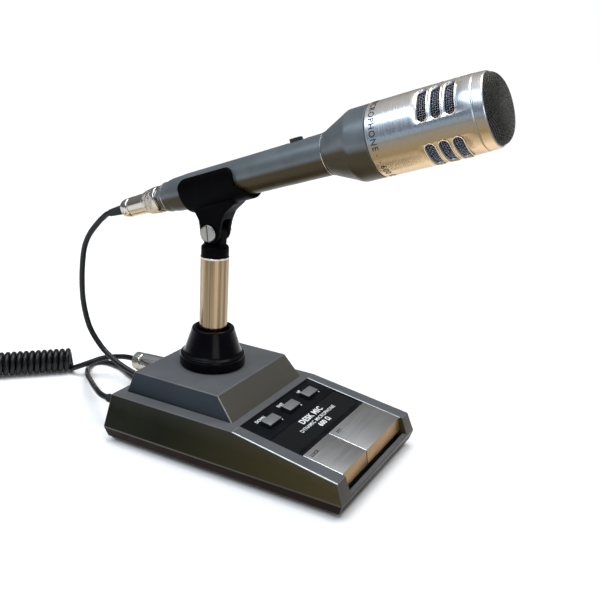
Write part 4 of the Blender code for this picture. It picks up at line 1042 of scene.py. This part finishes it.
def makeClip():
    # the moulded clip takes the frame's own shape, with its corners flowed together
    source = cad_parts["mic_clip"].data.copy()
    grid = bmesh.new()
    grid.from_mesh(source)
    bmesh.ops.remove_doubles(grid, verts=grid.verts, dist=1e-6)
    grid.to_mesh(source)
    grid.free()
    source.materials.clear()
    piece = newPiece("microphone_clip", source, finishes["fittingBlack"])
    remesh = piece.modifiers.new("even", "REMESH")
    remesh.mode = "VOXEL"
    remesh.voxel_size = clip["voxel"] * mm
    applyModifiers(piece)
    toMic = mic.inverted()
    for vert in piece.data.vertices:
        spot = toMic @ vert.co / mm
        if math.hypot(spot.x, spot.y) > 17.5:
            continue
        t = min(max((spot.y - clip["mouth"] + clip["corner"]) / clip["corner"], 0), 1)
        spot.z = clip["middle"] + (spot.z - clip["middle"]) * (1 - clip["corner"] * (1 - math.sqrt(1 - t * t))
                                                                / clip["half"])
        if spot.z > 20 and spot.y < -3:
            spot.z = 20 + (spot.z - 20) * (clip["nose"] - 20) / 11
        vert.co = mic @ (spot * mm)
    soft = piece.modifiers.new("soft", "SMOOTH")
    soft.factor = 0.5
    soft.iterations = clip["softening"]
    applyModifiers(piece)
    piece.data.shade_smooth()
    put(piece, "microphone", ["mic_clip"])
    sideways = Matrix.Rotation(-math.pi / 2, 4, "Y")
    screw = lathe("pivot_screw_head", [(0, 9.9), (5.2, 9.9), (5.9, 9.3), (5.9, 8.6), (2.5, 8.5), (2.5, -13.6),
                                       (0, -13.6)], sideways, finishes["screwChrome"], 0.35, 64)
    boolean(screw, blockMesh((-10.3, -10, -0.5), (-9.2, 10, 0.5)), Matrix.Rotation(math.radians(82), 4, "X"))
    smooth(screw.data)
    screw.data.transform(pivot)
    put(screw, "microphone", ["pivot_screw"])
    nut = outlinePlate([(5.2 * math.cos(a), 5.2 * math.sin(a)) for a in np.radians(range(0, 360, 60))], 8.5, 12.4, 0.35)
    hexNut = newPiece("pivot_hex_nut", nut, finishes["screwChrome"])
    boolean(hexNut, roundMesh(2.75, -20, 20, 32, "X"))
    smooth(hexNut.data)
    hexNut.data.transform(pivot)
    put(hexNut, "microphone", ["pivot_nut"])


makePost()
makeClip()
print("post and clip made")

# Microphone.
handle = {"slotHalf": 3.0, "slotLow": 60.5, "slotHigh": 75.5, "ribs": 5}
head = {"radius": 22.2, "slotRows": (156.8, 164.9, 173.0), "slotHalfAngle": 27.5, "slotHalfWidth": 2.5,
        "slotTurns": (54, 144, 234, 324), "rim": 0.36, "weave": 1.15, "wire": 0.2, "frontArc": 29.5}


def makeHandle():
    tubeProfile = [(13.2, 87.7), (12.5, 32), (12.1, -20), (11.4, -33), (10.9, -36.2), (10.5, -36.6), (10.2, -42),
                   (9.2, -45.4), (7.9, -45.5), (7.9, -40), (10.2, -26), (10.9, 32), (11.7, 87.7)]
    piece = lathe("handle_sleeve", tubeProfile, Matrix.Identity(4), finishes["handlePaint"], 0.5, 128, True)
    boolean(piece, blockMesh((-handle["slotHalf"], 0, handle["slotLow"]), (handle["slotHalf"], 20, handle["slotHigh"]),
                             (), 0.8, 3))
    smooth(piece.data)
    piece.data.transform(mic)
    put(piece, "microphone", ["handle_tube"])
    adapter = lathe("head_cone", [(22.1, 121.7), (22.05, 108.4), (21.5, 106.6), (20.3, 104.2), (14.3, 90.2),
                                  (13.5, 89.0), (13.3, 88.0), (11.7, 88.0), (18.6, 105.5), (20.2, 108.6),
                                  (20.2, 121.7)], mic, finishes["handlePaint"], 0.8, 128, True)
    put(adapter, "microphone", ["head_adapter"])
    for name, r, s in (("handle_front_ring", 13.28, 87.9), ("handle_rear_ring", 10.15, -41.0)):
        line = lathe(name, [(r - 0.3, s - 0.3), (r + 0.3, s - 0.2), (r + 0.35, s + 0.2), (r - 0.3, s + 0.35)], mic,
                     finishes["chrome"], 0.1, 96, True)
        put(line, "microphone")
    knob = blockMesh((-2.5, 9.6, 63.2), (2.5, 15.0, 70.8), (), 0.7, 3)
    slider = newPiece("slide_switch_knob", knob, [finishes["buttonSide"]] * 2)
    for i in range(handle["ribs"]):
        z = 64.9 + 1.05 * i
        boolean(slider, blockMesh((-4, 14.45, z - 0.2), (4, 16, z + 0.2)))
    smooth(slider.data)
    slider.data.transform(mic)
    put(slider, "slide_switch", ["switch_knob"])


def slotOutline(grow):
    # a slot's outline as (distance round the head, height) in mm, wider by grow
    half = head["radius"] * math.radians(head["slotHalfAngle"]) + grow
    end = head["slotHalfWidth"] + grow
    endSteps, sideSteps = 10, 14
    sweep = np.linspace(-math.pi / 2, math.pi / 2, endSteps)
    rightEnd = [(half - end + end * math.cos(a), end * math.sin(a)) for a in sweep]
    span = np.linspace(half - end, end - half, sideSteps)[1:-1]
    leftEnd = [(end - half + end * math.cos(a), end * math.sin(a))
               for a in np.linspace(math.pi / 2, 1.5 * math.pi, endSteps)]
    return rightEnd + [(x, end) for x in span] + leftEnd + [(x, -end) for x in span[::-1]]


def wrapped(points, radius, turn, height):
    # outline points laid on a cylinder of a radius, about a turn in degrees
    return [(radius * math.cos(math.radians(turn) + x / head["radius"]),
             radius * math.sin(math.radians(turn) + x / head["radius"]), height + z) for x, z in points]


def slotCutter(turn, height):
    rows = [wrapped(slotOutline(grow), radius, turn, height)
            for grow, radius in ((0, 15.0), (0, 21.4), (0.35, 21.85), (0.95, 22.3), (1.0, 26.0))]
    return gridMesh("slot", np.array(rows) * mm)


def makeHead():
    h = head
    profile = [(21.2, 186.6), (21.35, 184.9), (21.75, 184.6), (21.8, 183.9), (22.2, 150), (22.2, 122.6),
               (21.9, 122.0), (20.9, 122.0), (20.4, 186.6)]
    profile = fineRows(profile, 124, 182, 1.0)
    shell = lathe("head_barrel", profile, Matrix.Identity(4), finishes["headSatin"], 0.2, 192, True)
    shell.data.materials.append(finishes["headRim"])
    for turn in h["slotTurns"]:
        for height in h["slotRows"]:
            boolean(shell, slotCutter(turn, height))
    smooth(shell.data, 40)
    shell.data.transform(mic)
    put(shell, "microphone", ["head_shell"])
    ring = lathe("front_trim_ring", [(20.3, 191.4), (21.0, 191.3), (21.35, 190.6), (21.65, 185.6), (21.45, 185.2),
                                     (19.8, 185.2), (19.8, 191.0)], mic, finishes["headSatin"], 0.35, 160, True)
    put(ring, "microphone", ["front_ring"])
    words = mic @ Matrix.Translation((0, 0, 126.4 * mm)) @ Matrix.Rotation(math.radians(141), 4, "Z")
    lettering("head_lettering", "DYNAMIC MICROPHONE \u2014 600 \u03a9", 5.2, finishes["darkPrint"], words, "microphone",
              h["radius"] + 0.06, 1.2, 0.02)


def makeSlotRims():
    # a bright coined rim round every slot: one closed line swept and copied by a node tree
    h = head
    line = wrapped(slotOutline(0.75), 22.2, 0, 0)
    tree = bpy.data.node_groups.new("slot_rims", "GeometryNodeTree")
    tree.interface.new_socket("Geometry", in_out="OUTPUT", socket_type="NodeSocketGeometry")
    tree.interface.new_socket("Geometry", in_out="INPUT", socket_type="NodeSocketGeometry")
    tree.interface.new_socket("Rim Radius", in_out="INPUT", socket_type="NodeSocketFloat")
    nodes, links = tree.nodes, tree.links
    given, result = nodes.new("NodeGroupInput"), nodes.new("NodeGroupOutput")
    curve, circle, sweep = (nodes.new("GeometryNodeMeshToCurve"), nodes.new("GeometryNodeCurvePrimitiveCircle"),
                            nodes.new("GeometryNodeCurveToMesh"))
    circle.inputs["Resolution"].default_value = 8
    links.new(given.outputs["Rim Radius"], circle.inputs["Radius"])
    links.new(given.outputs["Geometry"], curve.inputs["Mesh"])
    links.new(curve.outputs[0], sweep.inputs["Curve"])
    links.new(circle.outputs[0], sweep.inputs["Profile Curve"])
    joined = nodes.new("GeometryNodeJoinGeometry")
    for turn in h["slotTurns"]:
        for height in h["slotRows"]:
            moved = nodes.new("GeometryNodeTransform")
            moved.inputs["Translation"].default_value = (0, 0, height * mm)
            moved.inputs["Rotation"].default_value = (0, 0, math.radians(turn))
            links.new(sweep.outputs[0], moved.inputs["Geometry"])
            links.new(moved.outputs[0], joined.inputs[0])
    real, coloured = nodes.new("GeometryNodeRealizeInstances"), nodes.new("GeometryNodeSetMaterial")
    coloured.inputs["Material"].default_value = finishes["headRim"]
    links.new(joined.outputs[0], real.inputs[0])
    links.new(real.outputs[0], coloured.inputs["Geometry"])
    links.new(coloured.outputs[0], result.inputs[0])
    mesh = bpy.data.meshes.new("head_slot_rims")
    mesh.from_pydata([Vector(p) * mm for p in line], [(i, (i + 1) % len(line)) for i in range(len(line))], [])
    piece = newPiece("head_slot_rims", mesh, finishes["headRim"])
    modifier = piece.modifiers.new("rims", "NODES")
    modifier.node_group = tree
    for item in tree.interface.items_tree:
        if item.in_out == "INPUT" and item.name == "Rim Radius":
            modifier[item.identifier] = h["rim"] * mm
    applyModifiers(piece)
    piece.data.shade_smooth()
    piece.data.transform(mic)
    put(piece, "microphone")


def wireMesh(name, lines, radius, sides=5):
    # many thin wires in one mesh; each line is an array of points in mm
    verts, faces = [], []
    angles = np.linspace(0, 2 * math.pi, sides, endpoint=False)
    for line, outward in lines:
        tangents = np.gradient(line, axis=0)
        tangents /= np.linalg.norm(tangents, axis=1)[:, None]
        across = np.cross(tangents, outward)
        across /= np.linalg.norm(across, axis=1)[:, None]
        over = np.cross(across, tangents)
        rings = line[:, None] + radius * (np.cos(angles)[None, :, None] * across[:, None]
                                          + np.sin(angles)[None, :, None] * over[:, None])
        start = len(verts)
        verts.extend(map(tuple, rings.reshape(-1, 3)))
        for i in range(len(line) - 1):
            for j in range(sides):
                k = (j + 1) % sides
                faces.append((start + i * sides + j, start + i * sides + k, start + (i + 1) * sides + k,
                              start + (i + 1) * sides + j))
        faces.append(tuple(start + j for j in reversed(range(sides))))
        faces.append(tuple(start + (len(line) - 1) * sides + j for j in range(sides)))
    mesh = bpy.data.meshes.new(name)
    mesh.from_pydata([tuple(c * mm for c in v) for v in verts], [], faces)
    grid = bmesh.new()
    grid.from_mesh(mesh)
    bmesh.ops.recalc_face_normals(grid, faces=grid.faces)
    grid.to_mesh(mesh)
    grid.free()
    mesh.shade_smooth()
    return mesh


def domeLine():
    # the front screen's outline from its middle to its edge, as (radius, height) by distance
    angles = np.radians(np.arange(90, -0.5, -2))
    line = [(20.0 * math.cos(a) ** 0.62, 191.0 + 7.6 * math.sin(a) ** 0.9) for a in angles]
    line[0] = (0.0, 198.6)
    line = np.array(line + [(20.0, 189.0)])
    along = np.concatenate([[0], np.cumsum(np.linalg.norm(np.diff(line, axis=0), axis=1))])
    return line, along


def makeFrontScreen():
    line, along = domeLine()
    pitch, limit = head["weave"], min(head["frontArc"], along[-1])
    count = int(limit / pitch)
    lines = []
    for direction in (0, 1):
        for n in range(-count, count + 1):
            fixed = n * pitch
            reach = math.sqrt(max(limit ** 2 - fixed ** 2, 0))
            if reach < 1.5:
                continue
            run = np.linspace(-reach, reach, max(6, int(2 * reach / (pitch * 0.5))))
            a, b = (np.full_like(run, fixed), run) if direction else (run, np.full_like(run, fixed))
            far = np.maximum(np.hypot(a, b), 1e-6)
            radius, height = np.interp(far, along, line[:, 0]), np.interp(far, along, line[:, 1])
            ahead = np.interp(far + 0.2, along, line[:, 0]), np.interp(far + 0.2, along, line[:, 1])
            slope = np.arctan2(ahead[1] - height, ahead[0] - radius)
            ux, uy = a / far, b / far
            outward = np.stack([-np.sin(slope) * ux, -np.sin(slope) * uy, np.cos(slope)], 1)
            wave = 0.2 * np.cos(math.pi * run / pitch) * (1 if (n + direction) % 2 else -1)
            points = np.stack([radius * ux, radius * uy, height], 1) + outward * wave[:, None]
            lines.append((points, outward))
    inside = [(r * 0.965, h - 0.75) for r, h in line[::4]]
    backing = lathe("front_screen_backing", inside + [(18.4, 188.2), (17.6, 188.2), (0, 188.2)], mic,
                    finishes["screenBack"], 0.1, 96)
    put(backing, "microphone", ["front_screen"])
    mesh = wireMesh("front_screen_weave", lines, head["wire"], 4)
    mesh.transform(mic @ Matrix.Rotation(math.radians(35), 4, "Z"))
    put(newPiece("front_screen_weave", mesh, finishes["wire"]), "microphone")


def makeSlotScreen():
    radius, low, high = 20.15, 151.5, 178.5
    count = 96
    pitch = 2 * math.pi * radius / count
    lines = []
    for n in range(count):
        angle = 2 * math.pi * n / count
        run = np.arange(low, high, pitch * 0.5)
        wave = 0.2 * np.cos(math.pi * (run - low) / pitch) * (1 if n % 2 else -1)
        r = radius + wave
        outward = np.tile([math.cos(angle), math.sin(angle), 0.0], (len(run), 1))
        lines.append((np.stack([r * math.cos(angle), r * math.sin(angle), run], 1), outward))
    for m in range(int((high - low) / pitch)):
        angles = np.linspace(0, 2 * math.pi, 2 * count + 1)
        wave = 0.2 * np.cos(math.pi * angles / (2 * math.pi / count)) * (-1 if m % 2 else 1)
        r = radius + wave
        outward = np.stack([np.cos(angles), np.sin(angles), np.zeros_like(angles)], 1)
        lines.append((np.stack([r * np.cos(angles), r * np.sin(angles), np.full_like(angles, low + m * pitch)], 1),
                      outward))
    mesh = wireMesh("slot_screen_weave", lines, 0.24, 4)
    mesh.transform(mic)
    put(newPiece("slot_screen_weave", mesh, finishes["slotWire"]), "microphone")


makeHandle()
makeHead()
makeSlotRims()
makeFrontScreen()
makeSlotScreen()
print("microphone made")

# Stage and light.
studio = {"floor": (0.9, 0.9, 0.9), "sky": (0.55, 0.62, 0.72), "horizon": (0.20, 0.17, 0.14), "seen": 1.0,
          "sun": 2.5, "sunAngle": 50}


def makeStage():
    bpy.ops.mesh.primitive_plane_add(size=400, location=(0, 0, -0.0002))
    floor = bpy.context.object
    floor.name = "floor"
    floor.data.materials.append(Shader("pale_floor", studio["floor"], 0, 0.8, 0.1).material)
    world = bpy.data.worlds.new("studio")
    bpy.context.scene.world = world
    world.use_nodes = True
    nodes, links = world.node_tree.nodes, world.node_tree.links
    seen, room = nodes["Background"], nodes.new("ShaderNodeBackground")
    seen.inputs["Color"].default_value = (1, 1, 1, 1)
    seen.inputs["Strength"].default_value = studio["seen"]
    height, ramp = nodes.new("ShaderNodeSeparateXYZ"), nodes.new("ShaderNodeMix")
    ramp.data_type = "RGBA"
    ramp.inputs[6].default_value = (*studio["horizon"], 1)
    ramp.inputs[7].default_value = (*studio["sky"], 1)
    links.new(nodes.new("ShaderNodeTexCoord").outputs["Generated"], height.inputs[0])
    curve = nodes.new("ShaderNodeMath")
    curve.operation = "POWER"
    curve.use_clamp = True
    curve.inputs[1].default_value = 1.7
    links.new(height.outputs["Z"], curve.inputs[0])
    links.new(curve.outputs[0], ramp.inputs[0])
    links.new(ramp.outputs[2], room.inputs["Color"])
    mixer, ray = nodes.new("ShaderNodeMixShader"), nodes.new("ShaderNodeLightPath")
    links.new(ray.outputs["Is Camera Ray"], mixer.inputs[0])
    links.new(room.outputs[0], mixer.inputs[1])
    links.new(seen.outputs[0], mixer.inputs[2])
    links.new(mixer.outputs[0], nodes["World Output"].inputs["Surface"])
    bpy.context.scene.view_settings.view_transform = "Standard"


def makeLamp(name, kind, spot, target, power, colour, size=(1, 1)):
    data = bpy.data.lights.new(name, kind)
    if kind == "AREA":
        data.shape = "RECTANGLE"
        data.size, data.size_y = size
    else:
        data.angle = math.radians(studio["sunAngle"])
    data.energy = power
    data.color = colour
    lamp = bpy.data.objects.new(name, data)
    lamp.location = spot
    lamp.rotation_euler = (Vector(target) - Vector(spot)).to_track_quat("-Z", "Y").to_euler()
    bpy.context.scene.collection.objects.link(lamp)


makeStage()
makeLamp("overhead", "SUN", (0.15, -0.1, 1.5), (0, 0, 0), studio["sun"], (1.0, 0.99, 0.97))
makeLamp("window", "AREA", (-0.68, 0.34, 0.95), (0, -0.05, 0.2), 5.5, (0.78, 0.89, 1.0), (1.1, 0.34))
makeLamp("fill", "AREA", (-0.9, -0.9, 0.5), (0, 0, 0.1), 3, (1.0, 0.95, 0.9), (0.6, 0.5))
print("stage made")
